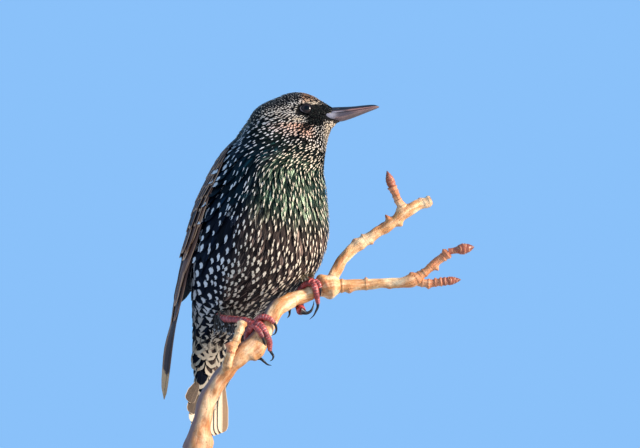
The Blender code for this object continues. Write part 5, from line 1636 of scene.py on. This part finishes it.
def vanes(centre, out, ahead, behind, thick, sag, sides=6):
    """Closed vanes (strips, stations, sides, 3) round their shafts.

    centre and out are (strips, stations, 3): the shaft and the way it faces. ahead and behind are
    the half widths on each side, thick the depth at the shaft, sag how far the edges droop.
    """
    along = unit(np.gradient(centre, axis=1))
    side = unit(np.cross(along, out))
    out = np.cross(side, along)
    across, rise = np.array(VANE_SECTIONS[sides], dtype=float).T
    half = np.where(across < 0.0, ahead[..., None], behind[..., None]) * across
    lift = thick[..., None] * 0.5 * rise - sag[..., None] * across**2
    rings = centre[:, :, None] + half[..., None] * side[:, :, None] + lift[..., None] * out[:, :, None]
    return rings, across


def vane_map(count, stations, across):
    """Across each vane (0 to 1, the shaft at a half) and along it (0 root, 1 tip), for every point."""
    u = np.broadcast_to(0.5 + 0.5 * across, (count, stations, len(across)))
    v = np.broadcast_to(np.linspace(0.0, 1.0, stations)[None, :, None], u.shape)
    return np.stack([u, v], -1).reshape(-1, 2)


def wing_vanes():
    """The right wing's vanes: root and tip height, place across at each, lift at each, width, kind.

    Kind is 0 for a primary, 1 a secondary, 2 a tertial, 2.6 a long covert of the leading edge and
    3 to 5 the other coverts, the largest first.
    """
    draw = np.random.default_rng(41)
    given = []
    for i, tip in enumerate(PRIMARY_TIPS):
        lift = 0.22 * i
        given.append((2.0, tip, 0.08 + 0.045 * i, 0.29 + 0.058 * i, 0.25 + lift, 0.15 + lift, 7.6, 0))
    for i in range(6):
        tip = -41.5 + 3.2 * i + draw.uniform(-0.4, 0.4)
        given.append((6.0, tip, 0.34 + 0.075 * i, 0.50 + 0.07 * i, 0.8 + 0.16 * i, 1.9 + 0.20 * i, 9.0, 1))
    for i in range(3):
        given.append((12.0, -29.0 + 8.5 * i, 0.62 + 0.1 * i, 0.78 + 0.055 * i, 1.3, 3.0 + 0.22 * i, 11.0, 2))
    for i in range(7):
        top, tip = 22.0 - 5.5 * i, 2.0 - 7.0 * i
        across = 0.05 + 0.035 * (i % 3)
        lift = 2.5 + 0.1 * (i % 3)
        given.append((top, tip, across, across + 0.02 + 0.008 * i, 1.2, lift, 5.6 + 0.2 * i, 2.6))
    for count, top, tip, width, first, last, kind in COVERTS:
        for i in range(count):
            across = first + (last - first) * (i + 0.5) / count + draw.uniform(-0.008, 0.008)
            low = tip + draw.uniform(-0.9, 0.9) + 1.5 * i / count
            lift = np.interp(top, (13.0, 30.0, 46.0), (2.75, 2.5, 1.3)) + 0.2 * (i % 2)
            lift = lift + draw.uniform(-0.06, 0.06)
            broad = width * draw.uniform(0.92, 1.08)
            given.append((top, low, across, across + 0.02, lift - 1.25, lift, broad, kind))
    return np.array(given)


def wing_shape():
    """Every vane of the right wing, the flight feathers rolled flat to the side at their tips.

    Returns points, faces, the web's map, a map with a tile for each vane, and the vanes' marks.
    """
    given = wing_vanes()
    root, tip, at_root, at_tip, sunk, raised, width, kind = given.T
    count, stations, tiles_across = len(given), 22, 12
    t = np.linspace(0.0, 1.0, stations)[None, :]
    height = root[:, None] + (tip - root)[:, None] * t
    across = at_root[:, None] + (at_tip - at_root)[:, None] * t
    long_ones = (kind < 1.5)[:, None]
    rolled = ramp(height, -30.0, -60.0) * long_ones
    lift = sunk[:, None] + (raised - sunk)[:, None] * t**0.8 + 0.9 * rolled
    # The smallest coverts thin out on to the flank at the leading edge.
    lift = lift * np.where(long_ones, 1.0, 0.30 + 0.70 * ramp(across, 0.0, 0.22))
    centre = wing_point(height, across, lift)
    out = wing_out(height, across)
    chord = unit(wing_point(height, across + 0.02, 0.0) - wing_point(height, across - 0.02, 0.0))
    roll = np.radians(30.0) * rolled + np.where(long_ones, 0.0, np.radians(-6.0))
    out = np.cos(roll)[..., None] * out - np.sin(roll)[..., None] * chord
    long = np.interp(t, (0.0, 0.3, 0.80, 0.92, 0.965, 0.99, 1.0), (0.6, 1.0, 0.96, 0.84, 0.62, 0.32, 0.08))
    broad = np.interp(t, (0.0, 0.4, 0.75, 0.90, 0.97, 1.0), (0.6, 1.0, 1.0, 0.80, 0.45, 0.08))
    shape = np.where((kind < 2.5)[:, None], long, broad)
    # Flight feathers have the narrow web on the side of the leading edge.
    lead = np.where(kind < 0.5, 0.30, np.where(kind < 1.5, 0.38, 0.5))[:, None]
    ahead, behind = width[:, None] * shape * lead, width[:, None] * shape * (1.0 - lead)
    thick = np.where(kind < 2.5, 0.36, 0.26)[:, None] + 0.0 * t
    sag = np.where(kind < 1.5, 0.12, 0.28)[:, None] * shape
    rings, sides = vanes(centre, out, ahead, behind, thick, sag)
    points, faces = strips(rings)
    flat = vane_map(count, stations, sides)
    each = stations * len(sides)
    tile = np.arange(count)
    corner = np.stack([tile % tiles_across, tile // tiles_across], -1) / tiles_across
    baked = np.repeat(corner, each, 0) + (0.04 + 0.92 * flat) / tiles_across
    wobble = np.random.default_rng(7).uniform(0.0, 1.0, count)
    marks = np.repeat(np.stack([kind / 10.0, wobble, width / 20.0], -1), each, 0)
    return points, faces, flat, baked, marks


def wing_plate():
    """The bed between wrist and primaries, its edges rounded over."""
    rows_in = np.array(WING_BED)[::-1]
    height = np.linspace(-37.0, 43.0, 60)
    outer, inner, start, stop = (np.interp(height, rows_in[:, 0], rows_in[:, i]) for i in range(1, 5))
    turn = even_turns(48)
    across = start[:, None] + (stop - start)[:, None] * (0.5 - 0.5 * np.cos(turn))
    middle, half = 0.5 * (outer + inner), 0.5 * (outer - inner)
    lift = middle[:, None] + half[:, None] * np.sign(np.sin(turn)) * np.abs(np.sin(turn)) ** 0.45
    rings = wing_point(height[:, None] + 0.0 * across, across, lift)
    return shell(rings)


def flight_vane(w):
    """A dark web with barbs slanting off its shaft and a buff fringe; primaries have a pale end."""
    u, v = w.map_named("vane")
    kind, wobble = w.mark("feather").part(0) * 10.0, w.mark("feather").part(1)
    at = w.place_in()
    off = abs(u - 0.5) * 2.0
    barbs = (v * 60.0 - off * 5.0 + w.noise(at, 500.0) * 0.8).waves()
    cloud = w.noise(at, 260.0, 4.0)
    fray = w.noise(at, 1300.0, 2.0) - 0.5
    brown = (cloud * 0.5 + wobble * 0.5).tint((0.060, 0.025, 0.019), (0.215, 0.098, 0.064))
    brown = (kind.ramp(0.5, 0.1) * 0.80).tint(brown, (0.022, 0.016, 0.020))
    brown = (off.ramp(0.30, 0.0) * v.ramp(0.1, 0.3) * 0.5).tint(brown, (0.020, 0.014, 0.014))
    covert = kind.ramp(2.5, 3.5)
    glossy = (cloud * 0.6 + wobble * 0.4).tint((0.008, 0.006, 0.010), (0.062, 0.036, 0.034))
    brown = covert.tint(brown, glossy)
    brown = (barbs * 0.16 * (1.0 - covert * 0.6)).tint(brown, (0.18, 0.105, 0.075))
    tip = (v + fray * 0.05 - off * 0.05).ramp(0.87, 0.93) * kind.ramp(0.5, 0.6)
    fringe = (off + fray * 0.12).ramp(0.66, 0.86) * v.ramp(0.25, 0.5) * kind.ramp(-0.4, 0.6)
    fringe = fringe.or_more(tip)
    brown = (fringe * 0.85).tint(brown, wobble.tint((0.36, 0.165, 0.085), (0.78, 0.42, 0.22)))
    brown = (tip * covert * 0.45).tint(brown, wobble.tint((0.42, 0.24, 0.14), (0.72, 0.50, 0.33)))
    pale_end = (v + fray * 0.03 + off * 0.02).ramp(0.835, 0.865) * kind.ramp(0.5, 0.1)
    brown = (pale_end * 0.9).tint(brown, (0.60, 0.335, 0.16))
    shaft = off.ramp(0.07, 0.03)
    brown = (shaft * 0.7).tint(brown, (0.018, 0.012, 0.010))
    return {
        "Base Color": brown,
        "Roughness": 0.45 + barbs * 0.12,
        "Normal": (barbs * 0.6 + shaft * 1.0).relief(0.12),
    }


def wing_bed_look(w):
    """The small soft feathers under the coverts, seen only at the wing's edges."""
    fuzz = w.noise(w.place_in(), 1500.0, 4.0)
    return {
        "Base Color": fuzz.tint((0.003, 0.004, 0.008), (0.014, 0.013, 0.016)),
        "Roughness": 0.6 + fuzz * 0.2,
        "Normal": fuzz.relief(0.3),
    }


flight_look = look_of("flight feather", flight_vane, Specular_IOR_Level=0.12)
bed_look = look_of("wing lining", wing_bed_look, Specular_IOR_Level=0.1)
points, faces, flat, baked, marks = wing_shape()
plate_points, plate_faces, _ = wing_plate()
for name, mirror in (("right", 1.0), ("left", -1.0)):
    turned = [part if mirror > 0.0 else part[:, ::-1] for part in faces]
    bed_turned = [part if mirror > 0.0 else part[:, ::-1] for part in plate_faces]
    side = np.array([mirror, 1.0, 1.0])
    made = piece(
        name + "_wing_feathers", points * side, turned, flight_look,
        {"vane": flat, "OFBake": baked}, {"feather": marks},
    )
    piece(name + "_wing_lining", plate_points * side, bed_turned, bed_look, crease=180.0)
    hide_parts("wing_" + name)


# ---------------------------------------------------------------- tail
# Twelve tail feathers close like a fan, the outer ones in front. From below they are silky grey
# with pale edges; from above dark brown with buff ones.

TAIL_TOP = -71.0  # height of the feathers' roots
TAIL_MIDDLE = 36.6  # how far back they hang
TAIL_SHIFT = -3.4  # how far the fan leans to the bird's right
TAIL_HALF = 9.9  # half the width of the fan
TAIL_TIPS = (-80.0, -85.5, -90.0, -93.5, -95.5, -96.3, -96.6, -96.6, -96.4, -96.0, -95.4, -94.6)
TAIL_WIDTH = 6.6  # of one feather
TAIL_LAYER = 0.7  # depth from each feather to the next
TAIL_FEATHERS, TAIL_RINGS = 12, 24


def tail_vane(w):
    """Dark brown above and silky pale grey-cream below, with buff edges and a dark shaft."""
    u, v = w.map_named("vane")
    at = w.place_in()
    off = abs(u - 0.5) * 2.0
    below = w.mark("under").part(2).ramp(0.02, 0.12)
    barbs = (v * 70.0 - off * 5.0 + w.noise(at, 500.0) * 0.8).waves()
    cloud = w.noise(at, 260.0, 4.0)
    brown = cloud.tint((0.035, 0.027, 0.024), (0.10, 0.075, 0.06))
    silk = cloud.tint((0.72, 0.50, 0.31), (0.95, 0.78, 0.56))
    dusky = cloud.tint((0.065, 0.045, 0.032), (0.14, 0.095, 0.066))
    silk = w.mark("under").part(0).tint(silk, dusky)
    stripe = u.ramp(0.50, 0.60) * u.ramp(0.985, 0.94) * w.mark("under").part(1)
    silk = (stripe * 0.9).tint(silk, (0.22, 0.11, 0.05))
    web = below.tint(brown, silk)
    web = (barbs * 0.10).tint(web, (0.24, 0.18, 0.14))
    fringe = (off.or_more(v.ramp(0.92, 1.0) * 1.1)).ramp(0.90, 0.98)
    web = (fringe * 0.8).tint(web, (0.82, 0.60, 0.40))
    shaft = off.ramp(0.06, 0.02)
    web = (shaft * 0.30).tint(web, (0.34, 0.22, 0.14))
    return {
        "Base Color": web,
        "Roughness": 0.45 + barbs * 0.12,
        "Normal": (barbs * 0.6 + shaft).relief(0.12),
    }


def tail_shape():
    """Twelve vanes from the tail's root to their tips, the outer ones hung before the inner."""
    number = np.arange(TAIL_FEATHERS)
    x = (number - 5.5) / 5.5 * TAIL_HALF
    back = TAIL_MIDDLE + 1.4 - TAIL_LAYER * (np.abs(number - 5.5) - 0.5) - 0.35 * (number == 6)
    t = np.linspace(0.0, 1.0, TAIL_RINGS)[None, :]
    tip = np.array(TAIL_TIPS)[:, None]
    fan = TAIL_SHIFT * (0.3 + 0.7 * t) + x[:, None] * (0.74 + 0.26 * t)
    centre = np.stack([fan, back[:, None] + 0.0 * t, TAIL_TOP + 1.0 + (tip - TAIL_TOP - 1.0) * t], -1)
    out = np.broadcast_to((0.0, 1.0, 0.0), centre.shape)
    shape = np.interp(t, (0.0, 0.5, 0.85, 0.94, 0.985, 1.0), (0.5, 1.0, 1.0, 0.8, 0.42, 0.08))
    shape = shape * np.ones((TAIL_FEATHERS, 1))
    narrow = np.where(number < 5.5, 0.36 + 0.02 * number, 0.64 - 0.02 * (11 - number))[:, None]
    # Facing back (+Y), a vane's own left is the bird's left.
    ahead, behind = TAIL_WIDTH * shape * (1.0 - narrow), TAIL_WIDTH * shape * narrow
    rings, sides = vanes(centre, out, ahead, behind, np.full(shape.shape, 0.34), 0.05 * shape)
    points, faces = strips(rings)
    # Marks: dark silk on the bird's right, a stripe on its left, and the corner that hangs below.
    feather = np.repeat(number, TAIL_RINGS * len(sides))
    side = np.tile(np.arange(len(sides)), TAIL_FEATHERS * TAIL_RINGS)
    marks = np.stack([feather < 2, feather > 8, side == 5], -1).astype(float)
    flat = vane_map(TAIL_FEATHERS, TAIL_RINGS, sides)
    baked = np.stack([feather % 4, feather // 4], -1) / 4.0 + (0.03 + 0.94 * flat) / 4.0
    return points, faces, flat, baked, marks


points, faces, flat, baked, marks = tail_shape()
tail_look = look_of("tail feather", tail_vane, Specular_IOR_Level=0.2)
tail_piece = piece(
    "tail_feathers", points, faces, tail_look,
    {"vane": flat, "OFBake": baked}, {"under": marks},
)
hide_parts("tail")


# ---------------------------------------------------------------- coat
# Small body feathers over the whole skin: dark and glossy, each with a pale tip. They are narrow
# and pointed on throat and breast, rounder on the flanks and broad under the tail.


def body_vane(w):
    """A body feather: a dark web with brighter strands, painted sheen on the bib, and a pale drop, point or
    edge at its tip.
    """
    u, v = w.map_named("vane")
    ground, pale, sheen = w.mark("ground"), w.mark("pale"), w.mark("sheen")
    cut = w.mark("cut")
    wide, long, bar = cut.part(0), cut.part(1), cut.part(2)
    gloss, seed = w.mark("cut", 3), w.mark("sheen", 3)
    at = w.place_in()
    off = abs(u - 0.5) * 2.0
    fray = w.noise(at, 1500.0, 2.0) - 0.5
    barbs = (v * 26.0 - off * 4.0 + fray).waves()
    strand = w.noise(w.joined(u * 5.5 + seed * 31.0, v * 1.1, seed * 47.0), 1.0, 3.0).ramp(0.47, 0.70)
    rise = (v - (1.0 - long)) / long
    swell = rise.ramp(0.0, 0.45) * (1.0 - rise.ramp(0.80, 1.15) * 0.3)
    drop = (wide * (0.35 + 0.65 * swell) - off + fray * 0.24).ramp(-0.05, 0.12)
    drop = drop * (rise + fray * 0.5).ramp(0.0, 0.16)
    point = ((0.80 - rise * 0.66) - off + fray * 0.25).ramp(-0.05, 0.10)
    point = point * (rise + fray * 0.25).ramp(0.0, 0.12)
    edge = (v + off * off * 0.50 + fray * 0.12).ramp(0.76, 0.83)
    pointed, edged = bar.ramp(0.05, 0.45), bar.ramp(0.60, 0.90)
    spot = drop * (1.0 - pointed) + point * pointed * wide.ramp(0.0, 0.2)
    spot = spot * (1.0 - edged) + edge * edged * wide.ramp(0.05, 0.25)
    web = strand.tint(ground, sheen)
    web = (barbs * 0.05).tint(web, (0.02, 0.02, 0.025))
    shaft = off.ramp(0.10, 0.03) * (1.0 - spot)
    web = (shaft * 0.6).tint(web, (0.003, 0.003, 0.003))
    marked = (barbs * 0.10 + (1.0 - strand) * 0.14).tint(pale, (0.30, 0.23, 0.15))
    return {
        "Base Color": spot.tint(web, marked),
        "Metallic": gloss * (1.0 - spot),
        "Roughness": 0.42 + spot * 0.25 + barbs * 0.10,
        "Normal": (strand * 0.6 + barbs * 0.4 + shaft * 0.4).relief(0.09),
    }


coat_look = look_of("body feather", body_vane, Specular_IOR_Level=0.06)


def coat_piece(name, rings, sides, on_skin, shades):
    """A piece made of vanes, with each vane's place on the skin (0 to 1 both ways) and its shades.

    shades holds ground, sheen, pale and cut: one row for each vane, given to all its points.
    """
    points, faces = strips(rings)
    count, stations = rings.shape[:2]
    flat = vane_map(count, stations, sides)
    each = stations * len(sides)
    baked = np.repeat(0.002 + 0.996 * on_skin, each, 0) + (flat - 0.5) * 0.003
    marks = {label: np.repeat(values, each, 0) for label, values in shades.items()}
    return piece(name, points, faces, coat_look, {"vane": flat, "OFBake": baked}, marks)


def coat(name, chosen, stations=7):
    """One piece of the coat: a closed vane for each chosen root, sunk at its root, clear at its tip."""
    count = int(chosen.sum())
    t, turn = root_t[chosen], root_turn[chosen]
    centre, out, _ = lie(t, turn, length[chosen], stations, sweep[chosen])
    share = np.linspace(0.0, 1.0, stations)[None, :]
    depth = coat_depth(t)[:, None]
    lift = -depth * 0.95 * (1.0 - share) ** 1.2 + (0.02 + 0.16 * loose[chosen])[:, None] * share
    lift = lift + FLANK_OVER * by_wing[chosen][:, None] * share**1.3
    centre = centre + lift[..., None] * out
    round_tip = np.interp(share, (0.0, 0.3, 0.6, 0.82, 0.94, 1.0), (0.45, 0.85, 1.0, 0.84, 0.5, 0.08))
    point_tip = np.interp(share, (0.0, 0.3, 0.55, 0.8, 0.93, 1.0), (0.5, 1.0, 0.92, 0.56, 0.26, 0.03))
    shape = mix(hackle[chosen][:, None], round_tip, point_tip)
    half = 0.5 * width[chosen][:, None] * shape
    thick = np.clip(0.05 * width[chosen], 0.06, 0.2)[:, None] * (0.5 + 0.5 * np.sin(np.pi * share))
    rings, sides = vanes(centre, out, half, half, thick, 0.10 * half, 4)
    on_skin = np.stack([(turn / (2.0 * np.pi)) % 1.0, (t - LOW_END) / (TOP_END - LOW_END)], -1)
    seed = coat_draws.uniform(0.0, 1.0, (count, 1))
    shades = {
        "ground": ground[chosen] * tone[chosen][:, None],
        "sheen": np.concatenate([strand[chosen] * bright[chosen][:, None], seed], -1),
        "pale": mark[chosen] * tint[chosen][:, None],
        "cut": cut[chosen],
    }
    coat_piece(name, rings, sides, on_skin, shades)


def beside_wing(points):
    """1 for roots just in front of the folded wing's leading edge, 0 away from it and under the wing.

    Both sides are measured against the right wing, with the left side's points mirrored.
    """
    heights = np.linspace(-30.0, 36.0, 80)
    edge = wing_point(heights, 0.0, 0.0)
    inward = unit(wing_point(heights, 0.1, 0.0) - edge)
    points = points * np.stack([-np.sign(points[:, 0]), np.ones(len(points)), np.ones(len(points))], -1)
    far = np.linalg.norm(points[:, None] - edge[None], axis=-1)
    closest = far.argmin(1)
    behind = ((points - edge[closest]) * inward[closest]).sum(-1)
    return np.exp(-((far.min(1) / 5.0) ** 2)) * ramp(behind, 0.6, -0.6)


coat_draws = np.random.default_rng(31)
tone = coat_draws.uniform(0.45, 1.6, feathers)
tint = coat_draws.uniform(0.82, 1.08, feathers)
loose = coat_draws.uniform(0.0, 1.0, feathers)
sweep = coat_draws.normal(0.0, 0.07, feathers)
# The flank's feathers lap over the folded wing's leading edge, and those of the belly's right side
# lie aslant across it.
FLANK_OVER = 2.6
by_wing = beside_wing(root_point)
sweep = sweep + 0.20 * by_wing * np.sign(root_point[:, 0])
across_belly = np.degrees(root_turn) % 360.0
slant = ramp(root_t, 6.0, 4.4) * ramp(root_t, 1.6, 2.4)
slant = slant * ramp(across_belly, 205.0, 235.0) * ramp(across_belly, 350.0, 320.0)
sweep = sweep - 0.42 * slant
bright = coat_draws.uniform(0.0, 1.0, feathers) ** 2.0 * 2.5 + 0.12
# A few feathers have no mark, and more of them on the throat.
unmarked = 0.24 * ramp(root_t, 8.3, 9.0) * ramp(root_t, 10.8, 10.2) * ramp(side_of_body, 85.0, 55.0)
broader = coat_draws.uniform(0.70, 1.22, feathers)
has_mark = coat_draws.uniform(0.0, 1.0, feathers) > 0.04 + unmarked
taller = coat_draws.uniform(0.75, 1.25, feathers)
cut = cut * np.stack([broader * has_mark, taller, np.ones(feathers), np.ones(feathers)], -1)
for name, low, high in (
    ("face_coat", 12.2, 15.0),
    ("crown_coat", 11.0, 12.2),
    ("cheek_coat", 10.0, 11.0),
    ("neck_coat", 8.4, 10.0),
    ("breast_coat", 5.2, 8.4),
    ("belly_coat", 2.0, 5.2),
    ("undertail_coat", -2.0, 2.0),
):
    coat(name, (root_t >= low) & (root_t < high))


# ---------------------------------------------------------------- thigh tufts
# The thighs end in loose trousers of longer, softer feathers, which hang over the top of each
# shank: dark with a pale fringe on the right, and greyish buff on the left.


def tuft(name, centre_of, spread, fan, half_width, seed, shades):
    """Closed vanes that fan out from about one place, between the two ends of fan.

    shades is the ground, strand and tip colour.
    """
    draw = np.random.default_rng(seed)
    count, stations = 110, 7
    root = centre_of + draw.normal(0.0, 1.0, (count, 3)) * spread
    share = draw.uniform(0.0, 1.0, (count, 1))
    reach = draw.uniform(0.45, 1.0, (count, 1)) ** 0.7
    run = (fan[0] + (fan[1] - fan[0]) * share + draw.normal(0.0, 0.35, (count, 3))) * reach
    t = np.linspace(0.0, 1.0, stations)[None, :, None]
    front = unit(np.array([-0.63, -0.75, -0.10]))
    bow = 1.6 * np.sin(np.pi * t * 0.8) * (1.1 - reach[:, None])
    centre = root[:, None] + run[:, None] * t + front * bow
    shape = np.interp(t[..., 0], (0.0, 0.4, 0.8, 1.0), (0.5, 1.0, 0.85, 0.12)) * np.ones((count, 1))
    half = half_width * draw.uniform(0.7, 1.2, (count, 1)) * shape
    facing = np.broadcast_to(front, centre.shape)
    rings, sides = vanes(centre, facing, half, half, 0.12 + 0.0 * half, 0.15 * half, 4)
    nearest = np.linalg.norm(BODY[None] - root[:, None, None], axis=-1).reshape(count, -1).argmin(1)
    on_skin = np.stack([nearest % SIDES / SIDES, nearest // SIDES / (ROWS - 1.0)], -1)
    bright = draw.uniform(0.3, 1.4, (count, 1))
    ground_shade, strand_shade, tip_shade = shades
    colours = {
        "ground": ground_shade * bright,
        "sheen": np.concatenate([strand_shade * bright, draw.uniform(0.0, 1.0, (count, 1))], -1),
        "pale": tip_shade * draw.uniform(0.6, 1.1, (count, 1)),
        "cut": np.tile((0.8, 0.16, 0.0, 0.0), (count, 1)),
    }
    coat_piece(name, rings, sides, on_skin, colours)


tuft(
    "right_thigh_tuft", np.array([-15.8, 3.0, -38.6]), (1.6, 2.2, 1.2),
    (np.array([0.0, 4.0, -8.6]), np.array([0.0, -5.5, -6.4])), 1.1, 51,
    (np.array([0.030, 0.025, 0.023]), np.array([0.16, 0.13, 0.11]), 0.62 * WHITE),
)
tuft(
    "left_thigh_tuft", np.array([12.5, -20.5, -15.5]), (1.2, 1.2, 1.0),
    (np.array([-1.5, -6.5, -8.5]), np.array([2.2, -7.5, -7.0])), 0.8, 52,
    (0.35 * BUFF, 0.9 * BUFF + 0.1 * WHITE, 0.85 * CREAM),
)


# ---------------------------------------------------------------- floor, light and camera
# A plain pale floor under plain studio light: a soft warm lamp low in front, on the side that the
# bill points to, and a pale surround that fills the shade.


def pale_floor(w):
    """Matt paint with a faint mottle."""
    mottle = w.noise(w.place_in(), 40.0, 4.0)
    paint = mottle.tint((0.60, 0.63, 0.66), (0.66, 0.68, 0.70))
    return {"Base Color": paint, "Roughness": 0.75 + mottle * 0.1}


floor_mesh = bpy.data.meshes.new("floor")
FLOOR_HALF = 15.0  # in metres
corners = [(x * FLOOR_HALF, y * FLOOR_HALF, 0.0) for x, y in ((-1, -1), (1, -1), (1, 1), (-1, 1))]
floor_mesh.from_pydata(corners, [], [(0, 1, 2, 3)])
floor_mesh.materials.append(look_of("pale floor", pale_floor))
floor = bpy.data.objects.new("floor", floor_mesh)
bpy.context.scene.collection.objects.link(floor)

AIM = np.array([24.39, -22.28, 7.88])  # where the camera looks
ROUND, RISE, AWAY = math.radians(-40.0), math.radians(-10.0), 720.0
to_camera = np.array([math.sin(ROUND) * math.cos(RISE), -math.cos(ROUND) * math.cos(RISE), math.sin(RISE)])
to_right = np.array([math.cos(ROUND), math.sin(ROUND), 0.0])


def turned_to(thing, direction, point):
    """Sets a lamp or camera at a point, looking back along the direction."""
    thing.location = Vector(point)
    thing.rotation_euler = Vector(direction).to_track_quat("Z", "Y").to_euler()


def lamp(name, direction, distance, size, power, colour):
    """A square soft lamp that faces the bird."""
    data = bpy.data.lights.new(name, "AREA")
    data.shape = "SQUARE"
    data.size = size
    data.energy = power
    data.color = colour
    thing = bpy.data.objects.new(name, data)
    bpy.context.scene.collection.objects.link(thing)
    direction = unit(direction)
    turned_to(thing, direction, place(AIM * 0.3) + direction * distance)


lamp("key lamp", 0.88 * to_right + 0.36 * to_camera + 0.38 * UP, 1.6, 0.35, 58.0, (1.0, 0.91, 0.78))
lamp("fill lamp", -0.7 * to_right + 0.5 * to_camera + 0.5 * UP, 2.0, 1.6, 7.0, (0.80, 0.89, 1.0))

surround = bpy.data.worlds.new("pale surround")
surround.use_nodes = True
surround.node_tree.nodes["Background"].inputs["Color"].default_value = (0.262, 0.55, 0.985, 1.0)
surround.node_tree.nodes["Background"].inputs["Strength"].default_value = 0.97
bpy.context.scene.world = surround
bpy.context.scene.view_settings.view_transform = "Standard"

camera_data = bpy.data.cameras.new("camera")
camera_data.lens = 81.0
camera_data.sensor_width = 36.0
camera_data.clip_start = 0.02
camera = bpy.data.objects.new("camera", camera_data)
bpy.context.scene.collection.objects.link(camera)
turned_to(camera, to_camera, place(AIM + AWAY * to_camera))
bpy.context.scene.camera = camera
